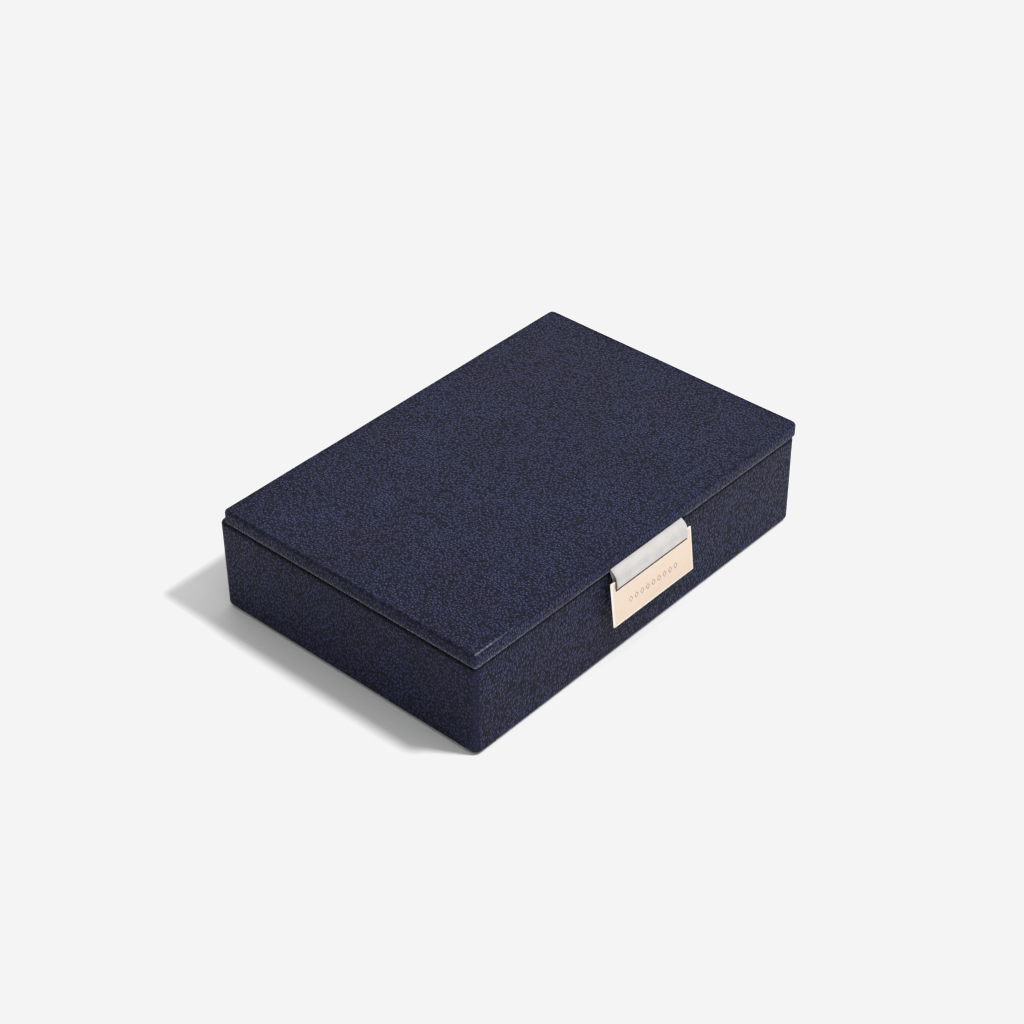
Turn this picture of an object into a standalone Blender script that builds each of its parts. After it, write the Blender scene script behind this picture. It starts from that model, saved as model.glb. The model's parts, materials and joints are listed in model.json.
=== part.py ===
"""Leather-covered jewellery case with a leather-hinged lid, a folded pull strap and a swinging pull plate.

Run with: blender --background --python part.py
Units are metres. +Z is up, -Y is the front, and the origin is the middle of the underside.
"""

import math

import bmesh
import bpy
from mathutils import Matrix, Vector

# The closed case
BODY_WIDTH = 0.2500
BODY_DEPTH = 0.1745
RIM_HEIGHT = 0.0544  # table to the top of the body's rim
LID_THICKNESS = 0.0085
LID_GAP = 0.0006  # between the rim and the lid's underside
LID_FRONT_OVERHANG = 0.0007
LID_REAR_INSET = 0.0046  # leaves the gutter where the hinge leather bends
CLEARANCE = 0.0003  # between two pieces that touch

# Sheet and board thicknesses
LEATHER = 0.0010
WALL_BOARD = 0.0050
BASE_BOARD = 0.0030
BASE_FELT = 0.0008
LINING_CARD = 0.0015
FLOOR_PAD = 0.0020
LID_PAD = 0.0022

# Roundings of the leather cover
BODY_CORNER_RADIUS = 0.0040
RIM_OUTER_RADIUS = 0.0018
RIM_INNER_RADIUS = 0.0015
BODY_FOOT_RADIUS = 0.0013
LID_CORNER_RADIUS = 0.0028
LID_TOP_RADIUS = 0.0026
LID_FOOT_RADIUS = 0.0016

# How far the leather is turned over its boards
TURN_DOWN_INSIDE = 0.0100
TURN_UNDER_BODY = 0.0120
TURN_UNDER_LID = 0.0140
FELT_BORDER = 0.0045  # leather left bare round the felt
LINING_DROP = 0.0050  # rim to the top of the velvet lining
LID_PAD_PLAY = 0.0012  # round the pad that drops inside the rim

# Compartments
DIVIDER = 0.0030
DIVIDER_DROP = 0.0084  # rim to the top of the dividers
LONG_DIVIDER_Y = -0.0240
FRONT_DIVIDER_X = 0.0400
MIDDLE_DIVIDER_X = -0.0060
RING_ROLL_COUNT = 6
RING_BED_HEIGHT = 0.0160

# Leather hinge along the rear rim
HINGE_STRIP_THICKNESS = 0.0008
HINGE_STRIP_LENGTH = 0.2360
HINGE_LEG_ON_WALL = 0.0144
HINGE_LEG_ON_LID = 0.0110
HINGE_SLIT_INSET = 0.0020  # rear face of the case to the middle of the strip
HINGE_BEND_RADIUS = 0.0014

# Pull plate
PLATE_WIDTH = 0.0630
PLATE_HEIGHT = 0.0263
PLATE_THICKNESS = 0.0012
PLATE_BAR = 0.0034  # height of the bar above the slot
PLATE_CORNER_RADIUS = 0.0007
PLATE_EDGE_BEVEL = 0.00015
PLATE_LEAN = math.radians(6.5)  # how far its foot stands out from plumb
PLATE_STANDOFF = 0.00244  # lid's front face to the middle of the bar
PLATE_DROP = 0.0057  # rim to the middle of the bar

# Pull strap, one strip folded round the plate's bar
STRAP_THICKNESS = 0.0007
STRAP_WIDTH = 0.0555
STRAP_UNDER_LID = 0.0119
STRAP_FOLD_GAP = 0.0001  # between the two layers where they are glued
STRAP_FRONT_FALL = ((0.40, 0.78), (0.74, 0.47), (0.94, 0.16))  # shares of the way out and down
STRAP_REAR_FALL = ((0.075, 0.28), (0.28, 0.62), (0.62, 0.88))
CUTTER_REACH = 0.0020  # how far a cutter stands out of what it cuts

# Levels and faces worked out from the sizes above
BODY_FOOT = BASE_FELT + CLEARANCE
BOARD_FOOT = BODY_FOOT + LEATHER + CLEARANCE
BASE_TOP = BOARD_FOOT + BASE_BOARD
LINING_FOOT = BASE_TOP + CLEARANCE
FLOOR_TOP = LINING_FOOT + FLOOR_PAD
DIVIDER_FOOT = FLOOR_TOP + CLEARANCE
LID_FOOT = RIM_HEIGHT + LID_GAP
LID_TOP = LID_FOOT + LID_THICKNESS
LID_FRONT = -BODY_DEPTH / 2 - LID_FRONT_OVERHANG
LID_REAR = BODY_DEPTH / 2 - LID_REAR_INSET
BOARD_INSET = LEATHER + CLEARANCE  # outer leather face to the board
WALL_INNER = BOARD_INSET + WALL_BOARD
RIM_WIDTH = WALL_INNER + CLEARANCE + LEATHER
LINING_OUTER = RIM_WIDTH + CLEARANCE
LINING_INNER = LINING_OUTER + LINING_CARD
ROOM_X = BODY_WIDTH / 2 - LINING_INNER - CLEARANCE
ROOM_Y = BODY_DEPTH / 2 - LINING_INNER - CLEARANCE
DIVIDER_TOP = RIM_HEIGHT - DIVIDER_DROP
HALF_DIVIDER = DIVIDER / 2 + CLEARANCE  # middle of a divider to what stands against it
SLOT_HEIGHT = 2 * STRAP_THICKNESS + PLATE_THICKNESS / 2 + CLEARANCE / 2
BAR_Y = LID_FRONT - PLATE_STANDOFF
BAR_Z = RIM_HEIGHT - PLATE_DROP
HINGE_Y = BODY_DEPTH / 2 - HINGE_SLIT_INSET
HINGE_Z = LID_FOOT + CLEARANCE / 2


def clear_scene():
    for obj in list(bpy.data.objects):
        bpy.data.objects.remove(obj, do_unlink=True)


def make_collection(name):
    collection = bpy.data.collections.new(name)
    bpy.context.scene.collection.children.link(collection)
    return collection


def make_material(name, colour, roughness, metallic=0.0):
    material = bpy.data.materials.new(name)
    material.use_nodes = True
    shader = material.node_tree.nodes["Principled BSDF"]
    shader.inputs["Base Color"].default_value = (*colour, 1.0)
    shader.inputs["Roughness"].default_value = roughness
    shader.inputs["Metallic"].default_value = metallic
    return material


clear_scene()
case_parts = make_collection("jewellery_case")
cutters = make_collection("cutters")

navy_leather = make_material("navy_leather", (0.026, 0.030, 0.062), 0.48)
board_brown = make_material("board_brown", (0.36, 0.25, 0.15), 0.85)
grey_velvet = make_material("grey_velvet", (0.30, 0.29, 0.30), 0.95)
black_felt = make_material("black_felt", (0.020, 0.021, 0.026), 0.95)
pale_suede = make_material("pale_suede", (0.66, 0.63, 0.62), 0.85)
pale_gold = make_material("pale_gold", (0.88, 0.72, 0.55), 0.24, 1.0)


def add_object(name, mesh, place, material, parent=None):
    """Puts a mesh at a place in world space, in the case's collection."""
    obj = bpy.data.objects.new(name, mesh)
    case_parts.objects.link(obj)
    mesh.materials.append(material)
    obj.location = Vector(place) - (parent.location if parent else Vector())
    obj.parent = parent
    return obj


def box_bmesh(low, high):
    """A box of the size of low to high, standing round its own middle, and that middle."""
    size = [h - l for l, h in zip(low, high)]
    middle = [(h + l) / 2 for l, h in zip(low, high)]
    bm = bmesh.new()
    bmesh.ops.create_cube(bm, size=1.0, matrix=Matrix.Diagonal((*size, 1.0)))
    return bm, middle


def to_mesh(bm, name):
    mesh = bpy.data.meshes.new(name)
    bm.to_mesh(mesh)
    bm.free()
    return mesh


def add_box(name, low, high, material, parent=None, radius_of=None):
    bm, middle = box_bmesh(low, high)
    obj = add_object(name, to_mesh(bm, name), middle, material, parent)
    if radius_of:
        round_edges(obj, radius_of)
    return obj


def add_cutter(name, low, high):
    """A box that cuts other pieces. It isn't part of the case."""
    bm, middle = box_bmesh(low, high)
    obj = bpy.data.objects.new(name, to_mesh(bm, name))
    cutters.objects.link(obj)
    obj.location = middle
    obj.hide_render = True
    obj.display_type = "WIRE"
    return obj


def cut(obj, cutter):
    modifier = obj.modifiers.new(cutter.name, "BOOLEAN")
    modifier.operation = "DIFFERENCE"
    modifier.object = cutter


def round_edges(obj, radius_of, segments=3):
    """Rounds each edge by radius_of(middle, along), with both vectors in the mesh's own space."""
    bm = bmesh.new()
    bm.from_mesh(obj.data)
    weight = bm.edges.layers.float.new("bevel_weight_edge")
    radii = {}
    for edge in bm.edges:
        start, end = (vert.co for vert in edge.verts)
        radii[edge] = radius_of((start + end) / 2, (end - start).normalized())
    widest = max(radii.values())
    for edge, radius in radii.items():
        edge[weight] = radius / widest
    bm.to_mesh(obj.data)
    bm.free()
    bevel = obj.modifiers.new("rounding", "BEVEL")
    bevel.limit_method = "WEIGHT"
    bevel.width = widest
    bevel.segments = segments
    obj.data.shade_smooth()
    obj.data.set_sharp_from_angle(angle=math.radians(40))


def soften(radius):
    """The same small radius on every edge."""
    return lambda middle, along: radius


def extrude_loop(bm, edges, move):
    """Extrudes an open edge loop, moves the new points, and returns the new loop."""
    made = bmesh.ops.extrude_edge_only(bm, edges=edges)["geom"]
    verts = {item for item in made if isinstance(item, bmesh.types.BMVert)}
    for vert in verts:
        vert.co = move(vert.co)
    return [e for e in made if isinstance(e, bmesh.types.BMEdge) and verts.issuperset(e.verts)]


def inwards(by):
    """Moves a corner point of a loop towards the middle in X and Y."""
    return lambda co: Vector((co.x - math.copysign(by, co.x), co.y - math.copysign(by, co.y), co.z))


def level_loop(bm, level):
    return [e for e in bm.edges if all(abs(v.co.z - level) < 1e-6 for v in e.verts)]


def add_cover(name, low, high, material, radius_of, parent=None, turn_under=0.0, turn_in=0.0, turn_down=0.0):
    """Leather glued round a box of boards: open below, and open above too where it turns in over a rim."""
    bm, middle = box_bmesh(low, high)
    half = (high[2] - low[2]) / 2
    open_levels = (-half, half) if turn_in else (-half,)
    faces = [f for f in bm.faces if abs(f.normal.z) > 0.5 and f.calc_center_median().z * f.normal.z > 0]
    open_faces = [f for f in faces if any(abs(f.calc_center_median().z - z) < 1e-6 for z in open_levels)]
    bmesh.ops.delete(bm, geom=open_faces, context="FACES_ONLY")
    extrude_loop(bm, level_loop(bm, -half), inwards(turn_under))
    if turn_in:
        rim = extrude_loop(bm, level_loop(bm, half), inwards(turn_in))
        extrude_loop(bm, rim, lambda co: co - Vector((0.0, 0.0, turn_down)))
    bmesh.ops.recalc_face_normals(bm, faces=bm.faces)
    obj = add_object(name, to_mesh(bm, name), middle, material, parent)
    round_edges(obj, radius_of, segments=4)
    shell = obj.modifiers.new("leather", "SOLIDIFY")
    shell.thickness = LEATHER
    shell.offset = -1.0
    shell.use_even_offset = True
    return obj


def smooth_line(points, steps=4):
    """Points along a Catmull-Rom curve through the given (y, z) points."""
    ends = [points[0], *points, points[-1]]
    line = []
    for before, start, end, after in zip(ends, ends[1:], ends[2:], ends[3:]):
        for step in range(steps):
            t = step / steps
            line.append(
                tuple(
                    0.5 * (2 * b + (c - a) * t + (2 * a - 5 * b + 4 * c - d) * t**2 + (3 * b - a - 3 * c + d) * t**3)
                    for a, b, c, d in zip(before, start, end, after)
                )
            )
    return [*line, points[-1]]


def arc(centre, radius, start, end, steps):
    """(y, z) points of an arc from the start angle to the end angle."""
    angles = [start + (end - start) * step / steps for step in range(steps + 1)]
    return [(centre[0] + radius * math.cos(a), centre[1] + radius * math.sin(a)) for a in angles]


def add_ribbon(name, line, width, thickness, material, parent=None):
    """A strip as wide as width along X, whose thickness has the (y, z) line in its middle."""
    origin = parent.location if parent else Vector()
    bm = bmesh.new()
    verts = [bm.verts.new((-width / 2, y - origin.y, z - origin.z)) for y, z in line]
    edges = [bm.edges.new(pair) for pair in zip(verts, verts[1:])]
    extrude_loop(bm, edges, lambda co: co + Vector((width, 0.0, 0.0)))
    obj = add_object(name, to_mesh(bm, name), (0.0, origin.y, origin.z), material, parent)
    shell = obj.modifiers.new("thickness", "SOLIDIFY")
    shell.thickness = thickness
    shell.offset = 0.0
    shell.use_even_offset = True
    obj.data.shade_smooth()
    return obj


def add_axis(name, place, parent=None):
    """An empty on a joint's axis. The pieces that move with the joint are its children."""
    empty = bpy.data.objects.new(name, None)
    case_parts.objects.link(empty)
    empty.location = place
    empty.parent = parent
    return empty


def is_upright(along):
    return abs(along.z) > 0.9


# Carcass boards


def wall_radius(middle, along, outwards):
    """A wall board's outer upright corners and long outer edges are eased for the leather."""
    outer = middle.dot(outwards) > 0
    if is_upright(along):
        return BODY_CORNER_RADIUS - LEATHER if outer and abs(middle.x) > BODY_WIDTH / 4 else 0.0
    if abs(along.dot(outwards)) > 0.5 or not outer:
        return 0.0
    return RIM_OUTER_RADIUS - LEATHER + CLEARANCE / 2


def add_boards():
    wall_x = BODY_WIDTH / 2 - BOARD_INSET
    wall_y = BODY_DEPTH / 2 - BOARD_INSET
    inner_x = BODY_WIDTH / 2 - WALL_INNER
    inner_y = BODY_DEPTH / 2 - WALL_INNER
    top = RIM_HEIGHT - BOARD_INSET
    for name, side in (("front_wall", -1), ("rear_wall", 1)):
        y_faces = sorted((side * wall_y, side * inner_y))
        low = (-wall_x, y_faces[0], BOARD_FOOT)
        high = (wall_x, y_faces[1], top)
        outwards = Vector((0.0, side, 0.0))
        wall = add_box(name, low, high, board_brown)
        round_edges(wall, lambda middle, along: wall_radius(middle, along, outwards))
        if name == "rear_wall":
            cut(wall, add_hinge_rebate(wall_y, top))
    for name, side in (("left_wall", -1), ("right_wall", 1)):
        x_faces = sorted((side * wall_x, side * inner_x))
        low = (x_faces[0], -inner_y + CLEARANCE, BOARD_FOOT)
        high = (x_faces[1], inner_y - CLEARANCE, top)
        outwards = Vector((side, 0.0, 0.0))
        wall = add_box(name, low, high, board_brown)
        round_edges(wall, lambda middle, along: 0.0 if is_upright(along) else wall_radius(middle, along, outwards))
    low = (-inner_x + CLEARANCE, -inner_y + CLEARANCE, BOARD_FOOT)
    high = (inner_x - CLEARANCE, inner_y - CLEARANCE, BASE_TOP)
    add_box("base_board", low, high, board_brown)


def add_hinge_rebate(wall_y, top):
    """The shallow step in the rear wall that holds the hinge leather under the cover."""
    half = HINGE_STRIP_LENGTH / 2 + CLEARANCE
    strip_face = HINGE_Y - HINGE_STRIP_THICKNESS / 2 - CLEARANCE
    foot = RIM_HEIGHT - HINGE_LEG_ON_WALL - CLEARANCE
    return add_cutter("hinge_rebate", (-half, strip_face, foot), (half, wall_y + CUTTER_REACH, top + CUTTER_REACH))


# Leather covers


def add_body_cover():
    def radius_of(middle, along):
        inner = abs(middle.x) < BODY_WIDTH / 2 - RIM_WIDTH / 2 and abs(middle.y) < BODY_DEPTH / 2 - RIM_WIDTH / 2
        half = (RIM_HEIGHT - BODY_FOOT) / 2
        at_top = abs(middle.z - half) < 1e-6
        on_corner = abs(along.x) > 0.1 and abs(along.y) > 0.1
        if is_upright(along):
            outer = abs(abs(middle.x) - BODY_WIDTH / 2) < 1e-6
            return BODY_CORNER_RADIUS if outer else 0.0
        if on_corner:
            return 0.0
        if at_top:
            return RIM_INNER_RADIUS if inner else RIM_OUTER_RADIUS
        outer_foot = abs(middle.z + half) < 1e-6 and (
            abs(abs(middle.x) - BODY_WIDTH / 2) < 1e-6 or abs(abs(middle.y) - BODY_DEPTH / 2) < 1e-6
        )
        return BODY_FOOT_RADIUS if outer_foot else 0.0

    low = (-BODY_WIDTH / 2, -BODY_DEPTH / 2, BODY_FOOT)
    high = (BODY_WIDTH / 2, BODY_DEPTH / 2, RIM_HEIGHT)
    cover = add_cover(
        "body_cover",
        low,
        high,
        navy_leather,
        radius_of,
        turn_under=TURN_UNDER_BODY,
        turn_in=RIM_WIDTH,
        turn_down=TURN_DOWN_INSIDE,
    )
    half = HINGE_STRIP_LENGTH / 2 + CLEARANCE
    reach = HINGE_STRIP_THICKNESS / 2 + CLEARANCE
    slit_low = (-half, HINGE_Y - reach, RIM_HEIGHT - LEATHER - CLEARANCE / 2)
    slit_high = (half, HINGE_Y + reach, RIM_HEIGHT + CUTTER_REACH)
    cut(cover, add_cutter("hinge_slit", slit_low, slit_high))


def add_lid_cover(lid_axis, recesses):
    def radius_of(middle, along):
        half = LID_THICKNESS / 2
        if is_upright(along):
            return LID_CORNER_RADIUS
        if abs(along.x) > 0.1 and abs(along.y) > 0.1:
            return 0.0
        if middle.z > half - 1e-6:
            return LID_TOP_RADIUS
        at_side = abs(middle.x) > BODY_WIDTH / 2 - TURN_UNDER_LID / 2
        at_end = abs(middle.y) > (LID_REAR - LID_FRONT) / 2 - TURN_UNDER_LID / 2
        return LID_FOOT_RADIUS if at_side or at_end else 0.0

    low = (-BODY_WIDTH / 2, LID_FRONT, LID_FOOT)
    high = (BODY_WIDTH / 2, LID_REAR, LID_TOP)
    cover = add_cover("lid_cover", low, high, navy_leather, radius_of, lid_axis, turn_under=TURN_UNDER_LID)
    for recess in recesses:
        cut(cover, recess)


# Inside the body


def add_lining():
    outer_x = BODY_WIDTH / 2 - LINING_OUTER
    outer_y = BODY_DEPTH / 2 - LINING_OUTER
    inner_x = BODY_WIDTH / 2 - LINING_INNER
    inner_y = BODY_DEPTH / 2 - LINING_INNER
    top = RIM_HEIGHT - LINING_DROP
    rounding = soften(LINING_CARD / 4)
    for name, side in (("front_lining", -1), ("rear_lining", 1)):
        y_faces = sorted((side * outer_y, side * inner_y))
        low = (-outer_x, y_faces[0], LINING_FOOT)
        high = (outer_x, y_faces[1], top)
        add_box(name, low, high, grey_velvet, radius_of=rounding)
    for name, side in (("left_lining", -1), ("right_lining", 1)):
        x_faces = sorted((side * outer_x, side * inner_x))
        low = (x_faces[0], -ROOM_Y, LINING_FOOT)
        high = (x_faces[1], ROOM_Y, top)
        add_box(name, low, high, grey_velvet, radius_of=rounding)
    add_box("floor_pad", (-ROOM_X, -ROOM_Y, LINING_FOOT), (ROOM_X, ROOM_Y, FLOOR_TOP), grey_velvet)


def add_divider(name, x_range, y_range):
    low = (x_range[0], y_range[0], DIVIDER_FOOT)
    high = (x_range[1], y_range[1], DIVIDER_TOP)
    return add_box(name, low, high, grey_velvet, radius_of=soften(DIVIDER / 4))


def across(middle):
    """The faces of a divider whose middle plane is given."""
    return middle - DIVIDER / 2, middle + DIVIDER / 2


def add_dividers():
    rear_start = LONG_DIVIDER_Y + HALF_DIVIDER
    tray_start = MIDDLE_DIVIDER_X + HALF_DIVIDER
    tray_x = (tray_start + ROOM_X) / 2
    tray_y = (rear_start + ROOM_Y) / 2
    add_divider("long_divider", (-ROOM_X, ROOM_X), across(LONG_DIVIDER_Y))
    add_divider("front_divider", across(FRONT_DIVIDER_X), (-ROOM_Y, LONG_DIVIDER_Y - HALF_DIVIDER))
    add_divider("middle_divider", across(MIDDLE_DIVIDER_X), (rear_start, ROOM_Y))
    lengthways = add_divider("tray_divider_long", (tray_start, ROOM_X), across(tray_y))
    crossways = add_divider("tray_divider_cross", across(tray_x), (rear_start, ROOM_Y))
    half_way = (DIVIDER_FOOT + DIVIDER_TOP) / 2
    lap_low = (tray_x - HALF_DIVIDER, tray_y - DIVIDER, half_way - CLEARANCE / 2)
    lap_high = (tray_x + HALF_DIVIDER, tray_y + DIVIDER, DIVIDER_TOP + CUTTER_REACH)
    cut(lengthways, add_cutter("upper_lap", lap_low, lap_high))
    lap_low = (tray_x - DIVIDER, tray_y - HALF_DIVIDER, DIVIDER_FOOT - CUTTER_REACH)
    lap_high = (tray_x + DIVIDER, tray_y + HALF_DIVIDER, half_way + CLEARANCE / 2)
    cut(crossways, add_cutter("lower_lap", lap_low, lap_high))


def add_ring_bank():
    """A foam bed with velvet rolls side by side on it. A ring is pushed in between two rolls."""
    x_range = (-ROOM_X, MIDDLE_DIVIDER_X - HALF_DIVIDER)
    y_range = (LONG_DIVIDER_Y + HALF_DIVIDER, ROOM_Y)
    bed_top = DIVIDER_FOOT + RING_BED_HEIGHT
    low = (x_range[0], y_range[0], DIVIDER_FOOT)
    high = (x_range[1], y_range[1], bed_top)
    add_box("ring_bed", low, high, grey_velvet)
    pitch = (y_range[1] - y_range[0] + CLEARANCE) / RING_ROLL_COUNT
    radius = (pitch - CLEARANCE) / 2
    length = x_range[1] - x_range[0]
    for index in range(RING_ROLL_COUNT):
        name = f"ring_roll_{index + 1}"
        bm = bmesh.new()
        turn = Matrix.Rotation(math.pi / 2, 4, "Y")
        bmesh.ops.create_cone(
            bm, cap_ends=True, segments=32, radius1=radius, radius2=radius, depth=length, matrix=turn
        )
        place = (sum(x_range) / 2, y_range[0] + radius + index * pitch, bed_top + CLEARANCE + radius)
        roll = add_object(name, to_mesh(bm, name), place, grey_velvet)
        ends = length / 2 - 1e-5
        round_edges(roll, lambda middle, along: DIVIDER / 3 if abs(middle.x) > ends else 0.0)


def add_base_felt():
    half_x = BODY_WIDTH / 2 - FELT_BORDER
    half_y = BODY_DEPTH / 2 - FELT_BORDER
    add_box("base_felt", (-half_x, -half_y, 0.0), (half_x, half_y, BASE_FELT), black_felt)


# Hinge leather


def add_hinge_strip():
    """Glued to the rear wall under the cover, up through the slit in the rim, and forward under the lid."""
    level = HINGE_Z + HINGE_STRIP_THICKNESS / 2 - CLEARANCE / 2
    bend = (HINGE_Y - HINGE_BEND_RADIUS, level - HINGE_BEND_RADIUS)
    line = [(HINGE_Y, RIM_HEIGHT - HINGE_LEG_ON_WALL)]
    line += arc(bend, HINGE_BEND_RADIUS, 0.0, math.pi / 2, 6)
    line.append((LID_REAR - HINGE_LEG_ON_LID, level))
    add_ribbon("hinge_strip", line, HINGE_STRIP_LENGTH, HINGE_STRIP_THICKNESS, navy_leather)


# Lid


def add_lid(lid_axis):
    half = HINGE_STRIP_LENGTH / 2 + CLEARANCE
    hinge_low = (-half, LID_REAR - HINGE_LEG_ON_LID - CLEARANCE, LID_FOOT - CUTTER_REACH)
    hinge_high = (half, LID_REAR + CUTTER_REACH, LID_FOOT + LEATHER + CLEARANCE / 2)
    hinge_recess = add_cutter("hinge_recess", hinge_low, hinge_high)
    half = STRAP_WIDTH / 2 + CLEARANCE
    strap_low = (-half, LID_FRONT - CUTTER_REACH, LID_FOOT - CUTTER_REACH)
    strap_top = LID_FOOT + 2 * STRAP_THICKNESS + STRAP_FOLD_GAP + CLEARANCE
    strap_high = (half, LID_FRONT + STRAP_UNDER_LID + CLEARANCE, strap_top)
    strap_recess = add_cutter("strap_recess", strap_low, strap_high)

    add_lid_cover(lid_axis, (hinge_recess, strap_recess))
    board_x = BODY_WIDTH / 2 - BOARD_INSET
    board_low = (-board_x, LID_FRONT + BOARD_INSET, LID_FOOT + BOARD_INSET)
    board_high = (board_x, LID_REAR - BOARD_INSET, LID_TOP - BOARD_INSET)

    def radius_of(middle, along):
        if is_upright(along):
            return LID_CORNER_RADIUS - LEATHER
        return LID_TOP_RADIUS - LEATHER if middle.z > 0 else LID_FOOT_RADIUS - LEATHER + CLEARANCE

    board = add_box("lid_board", board_low, board_high, board_brown, lid_axis, radius_of)
    cut(board, strap_recess)

    pad_x = BODY_WIDTH / 2 - RIM_WIDTH - LID_PAD_PLAY
    pad_y = BODY_DEPTH / 2 - RIM_WIDTH - LID_PAD_PLAY
    pad_top = LID_FOOT - CLEARANCE
    add_box(
        "lid_pad",
        (-pad_x, -pad_y, pad_top - LID_PAD),
        (pad_x, pad_y, pad_top),
        grey_velvet,
        lid_axis,
        soften(LID_PAD / 4),
    )


def on_plate(out, up):
    """The world (y, z) of a point that far in front of the plate's middle plane and above its bar's middle."""
    y = BAR_Y - out * math.cos(PLATE_LEAN) + up * math.sin(PLATE_LEAN)
    z = BAR_Z - out * math.sin(PLATE_LEAN) + up * math.cos(PLATE_LEAN)
    return y, z


def between(start, end, shares):
    """Points from start to end: each share is how far along Y, and how much of the height is left."""
    return [(start[0] + (end[0] - start[0]) * out, end[1] + (start[1] - end[1]) * left) for out, left in shares]


def add_pull_strap(lid_axis):
    """Both ends are glued under the lid. The fold goes down before the plate's bar and back through its slot."""
    lower = LID_FOOT + STRAP_THICKNESS / 2
    upper = lower + STRAP_THICKNESS + STRAP_FOLD_GAP
    inner_end = LID_FRONT + STRAP_UNDER_LID
    reach = PLATE_THICKNESS / 2 + CLEARANCE + STRAP_THICKNESS / 2
    half_bar = PLATE_BAR / 2
    over_rim = -BODY_DEPTH / 2 + RIM_OUTER_RADIUS * 0.6
    front_top = on_plate(reach, half_bar)
    rear_top = on_plate(-reach, half_bar)
    turn = [(reach * math.cos(a), -half_bar - reach * math.sin(a)) for a in (math.pi * k / 6 for k in range(7))]
    points = [(LID_FRONT, upper), *between((LID_FRONT, upper), front_top, STRAP_FRONT_FALL), front_top]
    points += [on_plate(out, up) for out, up in turn]
    points += [rear_top]
    points += [
        (rear_top[0] + (over_rim - rear_top[0]) * out, rear_top[1] + (lower - rear_top[1]) * up)
        for out, up in STRAP_REAR_FALL
    ]
    points += [(over_rim, lower)]
    line = [(inner_end, upper), *smooth_line(points), (inner_end, lower)]
    add_ribbon("pull_strap", line, STRAP_WIDTH, STRAP_THICKNESS, pale_suede, lid_axis)


def add_outline(curve, half_x, low_y, high_y, radius):
    """Adds a rectangle with round corners to a flat curve, four points to a corner."""
    corners = (
        (half_x - radius, high_y - radius, 0.0),
        (-half_x + radius, high_y - radius, math.pi / 2),
        (-half_x + radius, low_y + radius, math.pi),
        (half_x - radius, low_y + radius, math.pi * 1.5),
    )
    points = [point for x, y, start in corners for point in arc((x, y), radius, start, start + math.pi / 2, 3)]
    spline = curve.splines.new("POLY")
    spline.points.add(len(points) - 1)
    for point, (x, y) in zip(spline.points, points):
        point.co = (x, y, 0.0, 1.0)
    spline.use_cyclic_u = True


def add_pull_plate(plate_axis):
    curve = bpy.data.curves.new("pull_plate", "CURVE")
    curve.dimensions = "2D"
    curve.fill_mode = "BOTH"
    curve.extrude = PLATE_THICKNESS / 2 - PLATE_EDGE_BEVEL
    curve.bevel_depth = PLATE_EDGE_BEVEL
    curve.bevel_resolution = 1
    curve.offset = -PLATE_EDGE_BEVEL
    half_bar = PLATE_BAR / 2
    slot_half = STRAP_WIDTH / 2 + CLEARANCE
    add_outline(curve, PLATE_WIDTH / 2, half_bar - PLATE_HEIGHT, half_bar, PLATE_CORNER_RADIUS)
    add_outline(curve, slot_half, -half_bar - SLOT_HEIGHT, -half_bar, PLATE_CORNER_RADIUS / 2)
    plate = bpy.data.objects.new("pull_plate", curve)
    case_parts.objects.link(plate)
    curve.materials.append(pale_gold)
    plate.rotation_euler = (math.pi / 2 - PLATE_LEAN, 0.0, 0.0)
    plate.parent = plate_axis


add_base_felt()
add_boards()
add_body_cover()
add_lining()
add_dividers()
add_ring_bank()
add_hinge_strip()

lid_hinge = add_axis("lid_hinge_axis", (0.0, HINGE_Y, HINGE_Z))
add_lid(lid_hinge)
add_pull_strap(lid_hinge)
plate_hinge = add_axis("plate_hinge_axis", (0.0, BAR_Y - HINGE_Y, BAR_Z - HINGE_Z), lid_hinge)
add_pull_plate(plate_hinge)
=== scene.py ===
import json
import math

import bmesh
import bpy
from mathutils import Matrix, Vector, noise


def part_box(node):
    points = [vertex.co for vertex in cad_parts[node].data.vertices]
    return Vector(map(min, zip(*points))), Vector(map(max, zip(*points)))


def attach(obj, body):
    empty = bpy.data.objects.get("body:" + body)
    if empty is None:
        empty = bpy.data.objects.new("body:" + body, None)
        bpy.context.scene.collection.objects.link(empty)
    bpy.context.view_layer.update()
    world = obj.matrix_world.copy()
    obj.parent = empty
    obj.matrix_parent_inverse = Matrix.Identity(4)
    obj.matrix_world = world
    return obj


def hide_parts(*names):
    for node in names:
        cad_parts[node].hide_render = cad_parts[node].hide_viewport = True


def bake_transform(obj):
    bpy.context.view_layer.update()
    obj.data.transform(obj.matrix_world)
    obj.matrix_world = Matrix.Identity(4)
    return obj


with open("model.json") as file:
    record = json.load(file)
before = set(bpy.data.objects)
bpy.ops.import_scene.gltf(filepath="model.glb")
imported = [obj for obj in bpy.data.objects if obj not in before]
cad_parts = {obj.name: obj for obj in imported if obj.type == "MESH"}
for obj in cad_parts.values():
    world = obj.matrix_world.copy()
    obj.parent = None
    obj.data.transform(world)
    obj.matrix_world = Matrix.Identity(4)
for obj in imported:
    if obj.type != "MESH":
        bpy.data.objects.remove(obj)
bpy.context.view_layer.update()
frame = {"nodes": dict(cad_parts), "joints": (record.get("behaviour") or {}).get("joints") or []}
mm = 0.001


def boxOf(node):
    low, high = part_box(node)
    return low, high, (low + high) / 2


def smoothStep(low, high, value):
    share = min(1.0, max(0.0, (value - low) / (high - low)))
    return share * share * (3 - 2 * share)


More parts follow.
